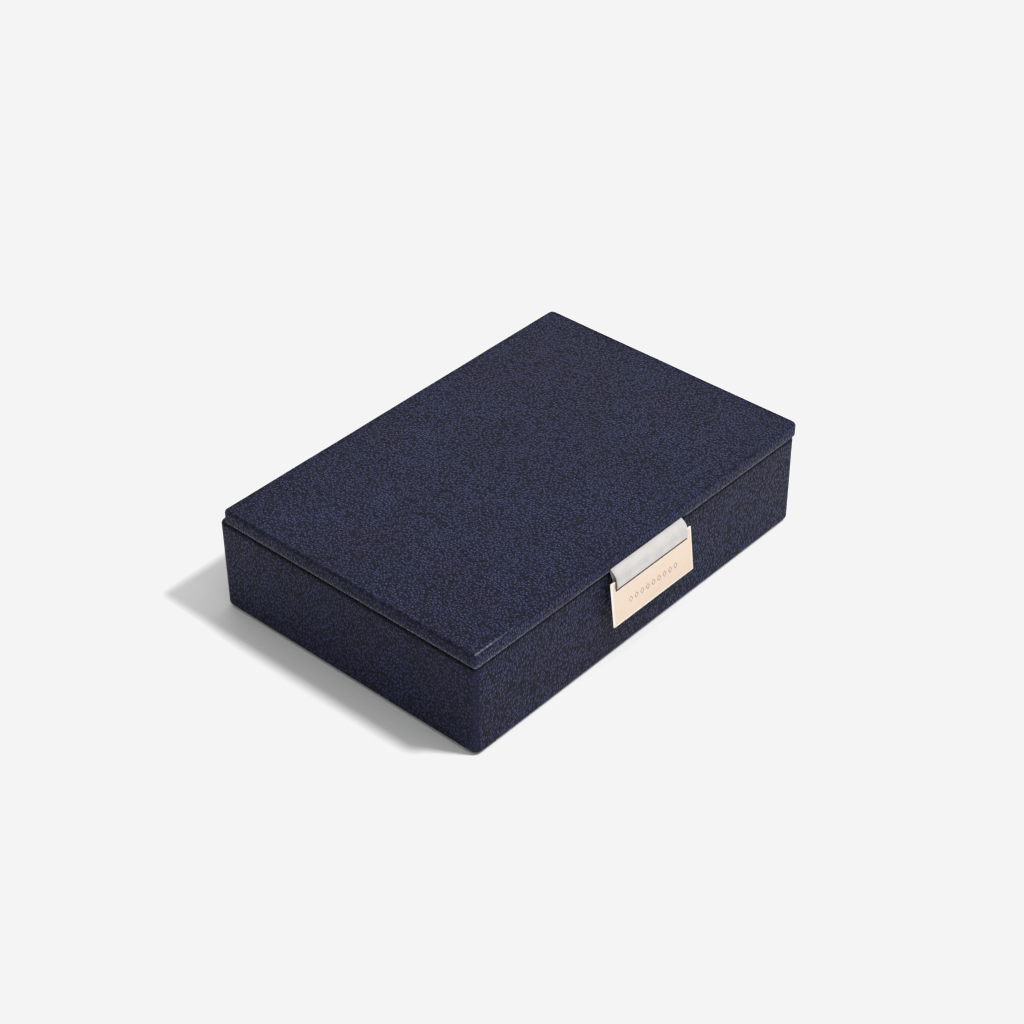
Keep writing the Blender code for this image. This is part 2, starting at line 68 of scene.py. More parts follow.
def addObject(name, mesh, material, body=None, smoothAngle=None):
    obj = bpy.data.objects.new(name, mesh)
    bpy.context.collection.objects.link(obj)
    if material:
        mesh.materials.append(material)
    if smoothAngle:
        mesh.shade_smooth()
        mesh.set_sharp_from_angle(angle=math.radians(smoothAngle))
    if body:
        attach(obj, body)
    return obj


def toMesh(bm, name):
    mesh = bpy.data.meshes.new(name)
    bm.to_mesh(mesh)
    bm.free()
    return mesh


def bake(obj):
    # turns the live modifiers into plain mesh
    graph = bpy.context.evaluated_depsgraph_get()
    made = bpy.data.meshes.new_from_object(obj.evaluated_get(graph), depsgraph=graph)
    obj.modifiers.clear()
    obj.data = made


def faceOut(bm, isOut):
    # isOut(bm) says whether an outermost face already looks outwards
    bmesh.ops.recalc_face_normals(bm, faces=bm.faces)
    if not isOut(bm):
        bmesh.ops.reverse_faces(bm, faces=bm.faces)


def startMaterial(name):
    material = bpy.data.materials.new(name)
    material.use_nodes = True
    tree = material.node_tree
    return material, tree, tree.nodes["Principled BSDF"]


def addNode(tree, kind, inputs=None, **settings):
    node = tree.nodes.new(kind)
    for key, value in settings.items():
        setattr(node, key, value)
    for key, value in (inputs or {}).items():
        if isinstance(value, bpy.types.NodeSocket):
            tree.links.new(value, node.inputs[key])
        else:
            node.inputs[key].default_value = value
    return node


def mathNode(tree, operation, first, second=0.0):
    return addNode(tree, "ShaderNodeMath", {0: first, 1: second}, operation=operation).outputs[0]


def vectorNode(tree, operation, *values):
    return addNode(tree, "ShaderNodeVectorMath", dict(enumerate(values)), operation=operation).outputs[0]


def noiseNode(tree, place, scale, detail, **others):
    inputs = {"Vector": place, "Scale": scale, "Detail": detail, **others}
    return addNode(tree, "ShaderNodeTexNoise", inputs).outputs


def attributeNode(tree, name):
    return addNode(tree, "ShaderNodeAttribute", attribute_name=name).outputs["Fac"]


def rampBetween(tree, value, low, high, start=0.0, end=1.0):
    inputs = {"Value": value, "From Min": low, "From Max": high, "To Min": start, "To Max": end}
    return addNode(tree, "ShaderNodeMapRange", inputs, interpolation_type="SMOOTHSTEP").outputs["Result"]


def mixValues(tree, first, firstShare, second, secondShare):
    # the two values added together, each times its share
    scaled = mathNode(tree, "MULTIPLY", first, firstShare)
    return mathNode(tree, "ADD", scaled, mathNode(tree, "MULTIPLY", second, secondShare))


def mixColour(tree, factor, first, second):
    node = tree.nodes.new("ShaderNodeMix")
    node.data_type = "RGBA"
    for socket, value in ((node.inputs[0], factor), (node.inputs[6], first), (node.inputs[7], second)):
        if isinstance(value, bpy.types.NodeSocket):
            tree.links.new(value, socket)
        else:
            socket.default_value = (*value, 1.0)
    return node.outputs[2]


def driftedPlace(tree, scale, reach):
    # object coordinates, and the same wandering a little, so that no pattern repeats or runs straight
    place = addNode(tree, "ShaderNodeTexCoord").outputs["Object"]
    drift = noiseNode(tree, place, scale, 2.0)["Color"]
    centred = vectorNode(tree, "SUBTRACT", drift, (0.5, 0.5, 0.5))
    return place, vectorNode(tree, "MULTIPLY_ADD", centred, (reach, reach, reach), place)


def patches(tree, place, scale, low, high, detail=2.0):
    return rampBetween(tree, noiseNode(tree, place, scale, detail)["Fac"], low, high)


def setInputs(node, values):
    for key, value in values.items():
        node.inputs[key].default_value = value


def addBump(tree, shader, height, strength, distance):
    inputs = {"Height": height, "Strength": strength, "Distance": distance}
    tree.links.new(addNode(tree, "ShaderNodeBump", inputs).outputs[0], shader.inputs["Normal"])


leatherLook = {
    # crease is painted shade at the bottom of the grain's creases; pebble is the tops' colour, lifted into
    # painted glints
    "crease": (0.0004, 0.0005, 0.0028),
    "pebble": (0.0402, 0.0447, 0.1275),
    # painted highlight colour for the pale edges of the lid
    "paintedHighlight": (0.2300, 0.2400, 0.3000),
    "violet": (1.06, 0.97, 1.00),
    "teal": (0.90, 1.04, 1.04),
    "pitch": 1.34 * mm,
    "wander": 0.75 * mm,
    "taller": (1.0, 1.0, 0.70),  # the grain runs taller on the sides
    "flank": (0.0, 0.26, 0.35),  # from the crease, to the pebble's flat part, share of the height
    "crown": (0.70, 0.05, 0.65),  # from the pebble's edge, to its top, share of the height
    "fineGrain": 0.14,
    "bump": 0.66 * mm,
    "foldFlattens": 0.72,  # how much of the grain a tight fold takes away
    # share of the colour kept under the painted shade on tight folds and rounded corners
    "paintedFoldShade": 0.75,
    "unevenness": (0.85, 1.00),
    # contrast narrows the pebble colour to sparse painted glints on the tops
    "contrast": 1.5,
    "cloud": (0.90, 1.10),
    "roughness": (0.44, 0.62),
    "specular": 0.17,
    "specularTint": (0.72, 0.78, 1.00),
}


def makeLeather(name, look):
    # pebbled grain; each piece's attributes flatten it and add painted shade at folds, add more painted shade
    # where marked, and pale some edges with a painted highlight
    material, tree, shader = startMaterial(name)
    pitch = look["pitch"]
    place, moved = driftedPlace(tree, 0.35 / pitch, look["wander"])
    taller = vectorNode(tree, "MULTIPLY", moved, look["taller"])
    cells = {"Vector": taller, "Scale": 1 / pitch, "Randomness": 0.9}
    edge = addNode(tree, "ShaderNodeTexVoronoi", cells, feature="DISTANCE_TO_EDGE").outputs["Distance"]
    dome = addNode(tree, "ShaderNodeTexVoronoi", cells, feature="F1").outputs["Distance"]
    *flankRamp, flankShare = look["flank"]
    *crownRamp, crownShare = look["crown"]
    flank = rampBetween(tree, edge, *flankRamp)
    crown = rampBetween(tree, dome, *crownRamp)
    pebble = mixValues(tree, flank, flankShare, crown, crownShare)
    fine = noiseNode(tree, place, 5.5 / pitch, 3.0)["Fac"]
    height = mathNode(tree, "ADD", pebble, mathNode(tree, "MULTIPLY", fine, look["fineGrain"]))
    stretch = attributeNode(tree, "stretch")
    depth = mathNode(tree, "SUBTRACT", 1.0, mathNode(tree, "MULTIPLY", stretch, look["foldFlattens"]))
    uneven = patches(tree, place, 70.0, 0.30, 0.68)
    depth = mathNode(tree, "MULTIPLY", depth, rampBetween(tree, uneven, 0.0, 1.0, *look["unevenness"]))
    centred = mathNode(tree, "MULTIPLY", mathNode(tree, "SUBTRACT", pebble, 0.5), depth)
    shown = mathNode(tree, "ADD", centred, 0.5)
    # the grain's colour: painted shade in the creases and painted glints on the pebble tops
    creaseShadeAndGlint = mathNode(tree, "POWER", shown, look["contrast"])
    grainWithPaintedLight = mixColour(tree, creaseShadeAndGlint, look["crease"], look["pebble"])
    hue = mixColour(tree, patches(tree, place, 30.0, 0.35, 0.65), look["violet"], look["teal"])
    tinted = vectorNode(tree, "MULTIPLY", grainWithPaintedLight, hue)
    cloud = rampBetween(tree, patches(tree, place, 26.0, 0.25, 0.75), 0.0, 1.0, *look["cloud"])
    tone = mathNode(tree, "MULTIPLY", cloud, mathNode(tree, "SUBTRACT", 1.0, attributeNode(tree, "shade")))
    # painted shade on folds and rounded corners
    foldShading = rampBetween(tree, stretch, 0.0, 1.0, 1.0, look["paintedFoldShade"])
    tone = mathNode(tree, "MULTIPLY", tone, foldShading)
    toned = addNode(tree, "ShaderNodeVectorMath", {0: tinted, 3: tone}, operation="SCALE").outputs[0]
    # painted highlight on the pebble tops where a piece is marked pale
    onPebbles = rampBetween(tree, shown, 0.0, 0.7, 0.35, 1.0)
    paintedGleam = mathNode(tree, "MULTIPLY", attributeNode(tree, "wearAndHighlight"), onPebbles)
    tree.links.new(mixColour(tree, paintedGleam, toned, look["paintedHighlight"]), shader.inputs["Base Color"])
    smooth, rough = look["roughness"]
    tree.links.new(rampBetween(tree, shown, 0.1, 0.9, rough, smooth), shader.inputs["Roughness"])
    setInputs(shader, {"Specular IOR Level": look["specular"], "Specular Tint": (*look["specularTint"], 1.0)})
    addBump(tree, shader, height, depth, look["bump"])
    return material


suedeLook = {
    "pale": (0.525, 0.500, 0.485),
    "shade": (0.450, 0.430, 0.420),
    "mottle": 160.0,
    "fibre": 2600.0,
    "pores": 1500.0,
    "bump": 0.06 * mm,
    "roughness": 0.68,
    "specular": 0.25,
    "sheen": 0.12,
}


def makeStrapLeather(name, look):
    material, tree, shader = startMaterial(name)
    moved = driftedPlace(tree, 500.0, 0.5 * mm)[1]
    mottle = patches(tree, moved, look["mottle"], 0.35, 0.65, 4.0)
    fibre = noiseNode(tree, moved, look["fibre"], 4.0)["Fac"]
    blend = mixValues(tree, mottle, 0.55, fibre, 0.45)
    tree.links.new(mixColour(tree, blend, look["shade"], look["pale"]), shader.inputs["Base Color"])
    shine = {"Specular IOR Level": look["specular"], "Sheen Weight": look["sheen"]}
    setInputs(shader, {"Roughness": look["roughness"], **shine})
    pores = addNode(tree, "ShaderNodeTexVoronoi", {"Vector": moved, "Scale": look["pores"]})
    dents = mathNode(tree, "MULTIPLY", pores.outputs["Distance"], 0.6)
    height = mathNode(tree, "ADD", fibre, dents)
    addBump(tree, shader, height, 0.5, look["bump"])
    return material


velvetLook = {
    "deep": (0.165, 0.160, 0.168),
    "light": (0.285, 0.277, 0.285),
    "pile": 2400.0,
    "nap": 38.0,
    "bump": 0.12 * mm,
    "roughness": (0.98, 0.86),
    "specular": 0.15,
    "sheen": 0.55,
    "sheenRoughness": 0.38,
}


def makeVelvet(name, look):
    material, tree, shader = startMaterial(name)
    place, moved = driftedPlace(tree, 90.0, 4.0 * mm)
    pile = noiseNode(tree, place, look["pile"], 3.0)["Fac"]
    nap = patches(tree, moved, look["nap"], 0.32, 0.68, 3.0)
    blend = mixValues(tree, pile, 0.75, nap, 0.22)
    tree.links.new(mixColour(tree, blend, look["deep"], look["light"]), shader.inputs["Base Color"])
    tree.links.new(rampBetween(tree, nap, 0.0, 1.0, *look["roughness"]), shader.inputs["Roughness"])
    sheen = {"Sheen Weight": look["sheen"], "Sheen Roughness": look["sheenRoughness"]}
    setInputs(shader, {"Specular IOR Level": look["specular"], **sheen})
    addBump(tree, shader, pile, 0.8, look["bump"])
    return material


feltLook = {
    "dark": (0.008, 0.008, 0.010),
    "light": (0.034, 0.035, 0.042),
    "hair": 900.0,
    "clump": 120.0,
    "bump": 0.15 * mm,
    "roughness": 0.96,
    "specular": 0.1,
    "sheen": 0.3,
}


def makeFelt(name, look):
    material, tree, shader = startMaterial(name)
    place, moved = driftedPlace(tree, 260.0, 1.5 * mm)
    hair = noiseNode(tree, moved, look["hair"], 6.0, Distortion=1.5)["Fac"]
    clump = patches(tree, place, look["clump"], 0.3, 0.7, 4.0)
    blend = mathNode(tree, "MULTIPLY", hair, rampBetween(tree, clump, 0.0, 1.0, 0.7, 1.2))
    tree.links.new(mixColour(tree, blend, look["dark"], look["light"]), shader.inputs["Base Color"])
    shine = {"Specular IOR Level": look["specular"], "Sheen Weight": look["sheen"]}
    setInputs(shader, {"Roughness": look["roughness"], **shine})
    addBump(tree, shader, hair, 0.9, look["bump"])
    return material


fibreboardLook = {
    "dark": (0.24, 0.155, 0.085),
    "light": (0.46, 0.33, 0.20),
    "fleck": 1400.0,
    "cloud": 60.0,
    "bump": 0.05 * mm,
    "roughness": 0.82,
}


def makeFibreboard(name, look):
    material, tree, shader = startMaterial(name)
    place, moved = driftedPlace(tree, 200.0, 1.0 * mm)
    fleck = noiseNode(tree, moved, look["fleck"], 5.0)["Fac"]
    cloud = patches(tree, place, look["cloud"], 0.3, 0.7)
    blend = mixValues(tree, fleck, 0.6, cloud, 0.3)
    tree.links.new(mixColour(tree, blend, look["dark"], look["light"]), shader.inputs["Base Color"])
    setInputs(shader, {"Roughness": look["roughness"]})
    addBump(tree, shader, fleck, 0.5, look["bump"])
    return material


plateLook = {
    "face": (0.76, 0.61, 0.495),
    "faceWarm": (0.80, 0.65, 0.53),
    "faceRoughness": (0.25, 0.36),
    "brushing": (90.0, 2500.0, 2500.0),  # the lines run along the plate
    "bump": 0.01 * mm,
    # the polished edges are paler than the face, partly a painted highlight
    "edge": (0.98, 0.90, 0.80),
    "edgeRoughness": (0.16, 0.30),
    "edgeWearAndHighlight": 420.0,
}


def makeBrushedGold(name, look):
    material, tree, shader = startMaterial(name)
    place, moved = driftedPlace(tree, 60.0, 1.0 * mm)
    inputs = {"Vector": place, "Scale": look["brushing"]}
    stretched = addNode(tree, "ShaderNodeMapping", inputs).outputs[0]
    lines = noiseNode(tree, stretched, 1.0, 4.0)["Fac"]
    cloud = patches(tree, moved, 45.0, 0.3, 0.7)
    tone = mixValues(tree, lines, 0.4, cloud, 0.5)
    tree.links.new(mixColour(tree, tone, look["face"], look["faceWarm"]), shader.inputs["Base Color"])
    setInputs(shader, {"Metallic": 1.0})
    tree.links.new(rampBetween(tree, lines, 0.2, 0.8, *look["faceRoughness"]), shader.inputs["Roughness"])
    addBump(tree, shader, lines, 0.25, look["bump"])
    return material


def makePolishedGold(name, look):
    # gold of the plate's polished edges and rim, paler than the face as a painted highlight, in patches of
    # wear
    material, tree, shader = startMaterial(name)
    moved = driftedPlace(tree, 300.0, 0.5 * mm)[1]
    wearAndHighlight = patches(tree, moved, look["edgeWearAndHighlight"], 0.45, 0.75, 4.0)
    tree.links.new(mixColour(tree, wearAndHighlight, look["edge"], look["faceWarm"]), shader.inputs["Base Color"])
    setInputs(shader, {"Metallic": 1.0})
    tree.links.new(rampBetween(tree, wearAndHighlight, 0.0, 1.0, *look["edgeRoughness"]), shader.inputs["Roughness"])
    return material


engravingAndSlotShadeLook = {
    "deep": (0.07, 0.05, 0.035),
    "shallow": (0.22, 0.165, 0.12),
    "soot": 1500.0,
    "metallic": 0.6,
    "roughness": 0.5,
}


# dark finish of the engraved lines, also put on the plate slot's lower edge as painted shade
def makeEngravingAndSlotShade(name, look):
    material, tree, shader = startMaterial(name)
    moved = driftedPlace(tree, 900.0, 0.3 * mm)[1]
    soot = patches(tree, moved, look["soot"], 0.3, 0.7)
    tree.links.new(mixColour(tree, soot, look["deep"], look["shallow"]), shader.inputs["Base Color"])
    setInputs(shader, {"Metallic": look["metallic"], "Roughness": look["roughness"]})
    return material


print("Finishes")
navyLeather = makeLeather("navyLeather", leatherLook)
strapLeather = makeStrapLeather("paleStrapLeather", suedeLook)
velvet = makeVelvet("greyVelvet", velvetLook)
felt = makeFelt("blackFelt", feltLook)
fibreboard = makeFibreboard("fibreboard", fibreboardLook)
brushedGold = makeBrushedGold("brushedGold", plateLook)
polishedGoldWithHighlight = makePolishedGold("polishedGoldWithHighlight", plateLook)
engravingAndSlotShade = makeEngravingAndSlotShade("engravingAndSlotShade", engravingAndSlotShadeLook)

for boardName in ("base_board", "front_wall", "rear_wall", "left_wall", "right_wall", "lid_board"):
    board = frame["nodes"][boardName]
    board.data.materials.clear()
    board.data.materials.append(fibreboard)


cornerSigns = ((1, 1), (-1, 1), (-1, -1), (1, -1))  # rear right, rear left, front left, front right


def roundedLoop(halfX, halfY, radii, arcSteps, runX, runY):
    # points of a rounded rectangle, anticlockwise from its right side, and how far round a bend each one is
    corners = []
    for index, (radius, (signX, signY)) in enumerate(zip(radii, cornerSigns)):
        centre = Vector((signX * (halfX - radius), signY * (halfY - radius)))
        angles = [math.radians(90.0 * index + 90.0 * step / arcSteps) for step in range(arcSteps + 1)]
        corners.append([centre + radius * Vector((math.cos(a), math.sin(a))) for a in angles])
    points, bends = [], []
    for index, corner in enumerate(corners):
        points += corner
        bends += [math.sin(math.pi * step / arcSteps) for step in range(arcSteps + 1)]
        following = corners[(index + 1) % 4][0]
        run = runX if index % 2 == 0 else runY
        points += [corner[-1].lerp(following, step / run) for step in range(1, run)]
        bends += [0.0] * (run - 1)
    return points, bends


def roundedProfile(corners, spacing):
    # (inset, height, bend) along straight runs with rounded corners; corners are (inset, height, radius)
    line = []
    for index, (inset, height, radius) in enumerate(corners):
        here = Vector((inset, height))
        if radius == 0.0:
            line.append((here, 0.0))
            continue
        before = (Vector(corners[index - 1][:2]) - here).normalized() * radius
        after = (Vector(corners[index + 1][:2]) - here).normalized() * radius
        centre = here + before + after
        steps = 8
        for step in range(steps + 1):
            turn = math.pi / 2 * step / steps
            line.append((centre - after * math.cos(turn) - before * math.sin(turn), math.sin(2 * turn)))
    spaced = []
    for (start, bend), following in zip(line, line[1:]):
        end = following[0]
        pieces = max(1, round((end - start).length / spacing))
        for step in range(pieces):
            spaced.append((*start.lerp(end, step / pieces), bend if step == 0 else 0.0))
    return [*spaced, (*line[-1][0], 0.0)]


def joinLoops(bm, loops, finishes=None):
    # quads between each closed loop of points and the next
    for ring, (loop, following) in enumerate(zip(loops, loops[1:])):
        for index in range(len(loop)):
            after = (index + 1) % len(loop)
            face = bm.faces.new((loop[index], loop[after], following[after], following[index]))
            face.material_index = finishes[ring] if finishes else 0


def sweepLeather(bm, centreY, half, profile, radii, runs, keptRadius, bendShare):
    # one loop of points for each point of the profile; bendShare(point) thins the grain at a fold and sets
    # its painted shade
    stretch = bm.verts.layers.float.new("stretch")
    loops = []
    for inset, height, bend in profile:
        kept = [keptRadius(radius, inset) for radius in radii]
        points, bends = roundedLoop(half.x - inset, half.y - inset, kept, 8, *runs)
        cornerShare = 1.0 if inset < max(radii) else 0.3
        loop = []
        for point, cornerBend in zip(points, bends):
            vert = bm.verts.new((point.x, point.y + centreY, height))
            vert[stretch] = max(bend * bendShare(point), cornerBend * cornerShare)
            loop.append(vert)
        loops.append(loop)
    joinLoops(bm, loops)
    return loops


def vertexNormals(obj):
    # taken before any point moves
    return [vert.normal.copy() for vert in obj.data.vertices]


def ruffle(obj, reach, size, seed, isFixed=None):
    # hand-laid leather is never dead flat
    for vert, normal in zip(obj.data.vertices, vertexNormals(obj)):
        if isFixed and isFixed(vert.co):
            continue
        wave = noise.noise(vert.co / size + Vector((seed, seed * 1.7, seed * 0.3)))
        vert.co += normal * reach * wave


def cutBox(obj, low, high):
    bm = bmesh.new()
    size = Vector(high) - Vector(low)
    middle = (Vector(high) + Vector(low)) / 2
    bmesh.ops.create_cube(bm, size=1.0, matrix=Matrix.Translation(middle) @ Matrix.Diagonal((*size, 1.0)))
    cutter = bpy.data.objects.new("cutter", toMesh(bm, "cutter"))
    for material in obj.data.materials:
        cutter.data.materials.append(material)
    bpy.context.collection.objects.link(cutter)
    modifier = obj.modifiers.new("cut", "BOOLEAN")
    modifier.operation = "DIFFERENCE"
    modifier.solver = "MANIFOLD"
    modifier.object = cutter
    bake(obj)
    bpy.data.objects.remove(cutter)


def thicken(obj, thickness):
    shell = obj.modifiers.new("thickness", "SOLIDIFY")
    shell.thickness = thickness
    shell.offset = -1.0
    bake(obj)


def paint(obj, name, amountAt):
    # a value for each point, read by the leather's finish
    values = obj.data.attributes.new(name, "FLOAT", "POINT").data
    for vert, value in zip(obj.data.vertices, values):
        value.value = amountAt(vert.co)


def foldAtCorner(co, halfX, halfY, reach):
    # small radial pleats where the leather is gathered under a corner
    fromCorner = Vector((halfX - abs(co.x), halfY - abs(co.y)))
    distance = fromCorner.length
    if distance > reach or distance < 0.5 * mm:
        return 0.0
    angle = math.atan2(fromCorner.y, fromCorner.x)
    fading = smoothStep(reach, reach * 0.4, distance) * smoothStep(0.5 * mm, 3.0 * mm, distance)
    return math.sin(angle * 14.0) * fading


coverRuns = (60, 42)  # stretches of leather between two corners, lengthways and across
weld = 0.002 * mm
sharpAngle = 42.0
bodyCover = {
    "thickness": 1.0 * mm,
    "cornerRadius": 4.0 * mm,
    "rimOuter": 1.8 * mm,
    "rimInner": 1.5 * mm,
    "foot": 1.7 * mm,
    "turnUnder": 12.0 * mm,
    "turnDown": 10.0 * mm,
    "rimWidth": 7.6 * mm,
    "swell": 0.12 * mm,
    "unevenness": 0.10 * mm,
    "waveLength": 26 * mm,
    "pleat": 0.18 * mm,
    "pleatReach": 11 * mm,
    "foldBend": 0.4,
    "rimShade": 0.75,
    "footShade": 0.5,
}


def makeBodyLeather():
    low, high, middle = boxOf("body_cover")
    half = (high - low) / 2
    s = bodyCover
    corners = [
        (s["rimWidth"], high.z - s["turnDown"], 0.0),
        (s["rimWidth"], high.z, s["rimInner"]),
        (0.0, high.z, s["rimOuter"]),
        (0.0, low.z, s["foot"]),
        (s["turnUnder"], low.z, 0.0),
    ]
    bm = bmesh.new()
    profile = roundedProfile(corners, 3.5 * mm)
    tightest = 0.25 * mm
    keptRadius = lambda radius, inset: max(radius - inset, tightest)
    radii = [s["cornerRadius"]] * 4
    sweepLeather(bm, middle.y, half, profile, radii, coverRuns, keptRadius, lambda point: s["foldBend"])
    bmesh.ops.remove_doubles(bm, verts=bm.verts, dist=weld)
    faceOut(bm, lambda made: max(made.faces, key=lambda f: f.calc_center_median().x).normal.x > 0)
    obj = addObject("bodyLeather", toMesh(bm, "bodyLeather"), navyLeather)
    rimShade = lambda co: s["rimShade"] * smoothStep(high.z - 2.4 * mm, high.z - 0.7 * mm, co.z)
    footShade = lambda co: s["footShade"] * smoothStep(low.z + 2.0 * mm, low.z, co.z)
    paint(obj, "shade", lambda co: max(rimShade(co), footShade(co)))
    for vert, normal in zip(obj.data.vertices, vertexNormals(obj)):
        x, y, z = vert.co
        up = (z - low.z) / (high.z - low.z)
        onSide = abs(x) > half.x - 0.01 * mm
        if onSide or abs(y) > half.y - 0.01 * mm:  # the four outer faces
            along = abs(y) / half.y if onSide else abs(x) / half.x
            vert.co += normal * s["swell"] * 4 * up * (1 - up) * (1 - along**4)
        if z < low.z + 0.01 * mm:
            vert.co.z += s["pleat"] * foldAtCorner(vert.co, half.x, half.y, s["pleatReach"])
    ruffle(obj, s["unevenness"], s["waveLength"], 3.1, lambda co: co.z < low.z + 1.5 * mm)
    thicken(obj, s["thickness"])
    slitLow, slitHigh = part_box("hinge_strip")
    play = 0.3 * mm
    rear = (slitLow.x - play, slitHigh.y - 0.8 * mm - play, high.z - s["thickness"] - 0.3 * mm)
    front = (slitHigh.x + play, slitHigh.y + play, high.z + 1.0 * mm)
    cutBox(obj, rear, front)
    obj.data.shade_smooth()
    obj.data.set_sharp_from_angle(angle=math.radians(sharpAngle))
    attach(obj, "case")
    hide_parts("body_cover")


lidCover = {
    "thickness": 1.0 * mm,
    "cornerRadii": (2.6 * mm, 2.4 * mm, 1.5 * mm, 3.0 * mm),  # in the order of cornerSigns
    "topRadius": 2.0 * mm,
    "footRadius": 1.3 * mm,
    "flatInset": 6.0 * mm,
    "turnUnder": 14.0 * mm,
    "crown": 0.25 * mm,
    "unevenness": 0.12 * mm,
    "waveLength": 24 * mm,
    "pleat": 0.12 * mm,
    "pleatReach": 10 * mm,
    "leftBend": 0.55,
    "otherBend": 0.2,
    # strengths of the painted highlight on the lower fold and on the front edge, and how far along the edge
    # it runs
    "foldHighlight": 0.75,
    "edgeWearAndHighlight": 0.7,
    "edgeHighlightLength": 34 * mm,
    "leftShade": 0.15,
    "underShade": 0.7,
}


def highlightOfLid(low, high):
    # painted highlight: the lower fold is painted pale, and so is the front edge next to its left corner
    s = lidCover
    left = low.x
    edgeAt = low.y + s["topRadius"] * 0.45

    def highlightAt(co):
        above = smoothStep(low.z + 0.1 * mm, low.z + 0.4 * mm, co.z)
        lower = above * smoothStep(low.z + 1.5 * mm, low.z + 1.0 * mm, co.z)
        onEdge = smoothStep(s["topRadius"] * 0.45, s["topRadius"] * 0.15, abs(co.y - edgeAt))
        nearTop = smoothStep(high.z - 0.6 * mm, high.z - 0.3 * mm, co.z)
        nearCorner = smoothStep(left + s["edgeHighlightLength"], left + 2 * mm, co.x)
        return max(s["foldHighlight"] * lower, s["edgeWearAndHighlight"] * onEdge * nearTop * nearCorner)

    return highlightAt


def shadeOfLid(low, high):
    s = lidCover

    def shadeAt(co):
        leftEnd = smoothStep(low.x + 6 * mm, low.x + 2 * mm, co.x)
        leftRound = leftEnd * smoothStep(high.z - 3 * mm, high.z - 1 * mm, co.z)
        under = smoothStep(low.z + 0.3 * mm, low.z, co.z)
        return max(s["leftShade"] * leftRound, s["underShade"] * under)

    return shadeAt


def makeLidLeather():
    low, high, middle = boxOf("lid_cover")
    half = (high - low) / 2
    s = lidCover
    flatInset = s["flatInset"]
    corners = [
        (flatInset, high.z, 0.0),
        (0.0, high.z, s["topRadius"]),
        (0.0, low.z, s["footRadius"]),
        (s["turnUnder"], low.z, 0.0),
    ]
    bm = bmesh.new()
    profile = roundedProfile(corners, 1.8 * mm)
    keptRadius = lambda radius, inset: radius * max(0.0, 1.0 - inset / flatInset)
    isLeft = lambda point: -point.x / half.x > abs(point.y) / half.y
    bendShare = lambda point: s["leftBend"] if isLeft(point) else s["otherBend"]
    sweepLeather(bm, middle.y, half, profile, s["cornerRadii"], coverRuns, keptRadius, bendShare)
    reachX, reachY = half.x - flatInset, half.y - flatInset  # the flat middle is a grid inside the first loop
    stepsX, stepsY = coverRuns
    spanX = [-reachX + 2 * reachX * i / stepsX for i in range(stepsX + 1)]
    spanY = [middle.y - reachY + 2 * reachY * i / stepsY for i in range(stepsY + 1)]
    grid = [[bm.verts.new((x, y, high.z)) for x in spanX] for y in spanY]
    for row, nextRow in zip(grid, grid[1:]):
        for corners in zip(row, row[1:], nextRow[1:], nextRow):
            bm.faces.new(corners)
    bmesh.ops.remove_doubles(bm, verts=bm.verts, dist=weld)
    faceOut(bm, lambda made: max(made.faces, key=lambda f: f.calc_center_median().z).normal.z > 0)
    obj = addObject("lidLeather", toMesh(bm, "lidLeather"), navyLeather)
    # painted highlight along the lid's lower fold and its front edge near the left corner
    paint(obj, "wearAndHighlight", highlightOfLid(low, high))
    paint(obj, "shade", shadeOfLid(low, high))
    for vert in obj.data.vertices:
        if vert.co.z > high.z - 0.01 * mm:
            u = vert.co.x / half.x
            v = (vert.co.y - middle.y) / half.y
            vert.co.z += s["crown"] * (1 - u**4) * (1 - v**4) - s["crown"]
    ruffle(obj, s["unevenness"], s["waveLength"], 8.4, lambda co: co.z < low.z + 1.0 * mm)
    for vert in obj.data.vertices:
        if vert.co.z < low.z + 0.01 * mm:
            fromMiddle = vert.co - Vector((0, middle.y, 0))
            vert.co.z += s["pleat"] * max(0.0, foldAtCorner(fromMiddle, half.x, half.y, s["pleatReach"]))
    thicken(obj, s["thickness"])
    play = 0.3 * mm
    under = low.z - 1.0 * mm
    hingeLow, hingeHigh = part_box("hinge_strip")
    hingeRoof = low.z + s["thickness"] + 0.15 * mm
    rearCorner = (hingeHigh.x + play, high.y + 2 * mm, hingeRoof)
    cutBox(obj, (hingeLow.x - play, hingeLow.y - play, under), rearCorner)
    strapLow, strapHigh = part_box("pull_strap")
    frontCorner = (strapLow.x - play - 0.3 * mm, low.y - 2 * mm, under)
    cutBox(obj, frontCorner, (strapHigh.x + play, strapHigh.y + play, strapHigh.z + play))
    obj.data.shade_smooth()
    obj.data.set_sharp_from_angle(angle=math.radians(sharpAngle))
    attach(obj, "lid")
    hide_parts("lid_cover")


print("Leather covers")
makeBodyLeather()
makeLidLeather()


def smoothLine(points, steps):
    ends = [points[0], *points, points[-1]]
    line = []
    for before, start, end, after in zip(ends, ends[1:], ends[2:], ends[3:]):
        for step in range(steps):
            t = step / steps
            line.append(
                0.5 * (2 * start + (end - before) * t + (2 * before - 5 * start + 4 * end - after) * t**2)
                + 0.5 * (3 * start - before - 3 * end + after) * t**3
            )
    return [*line, points[-1]]


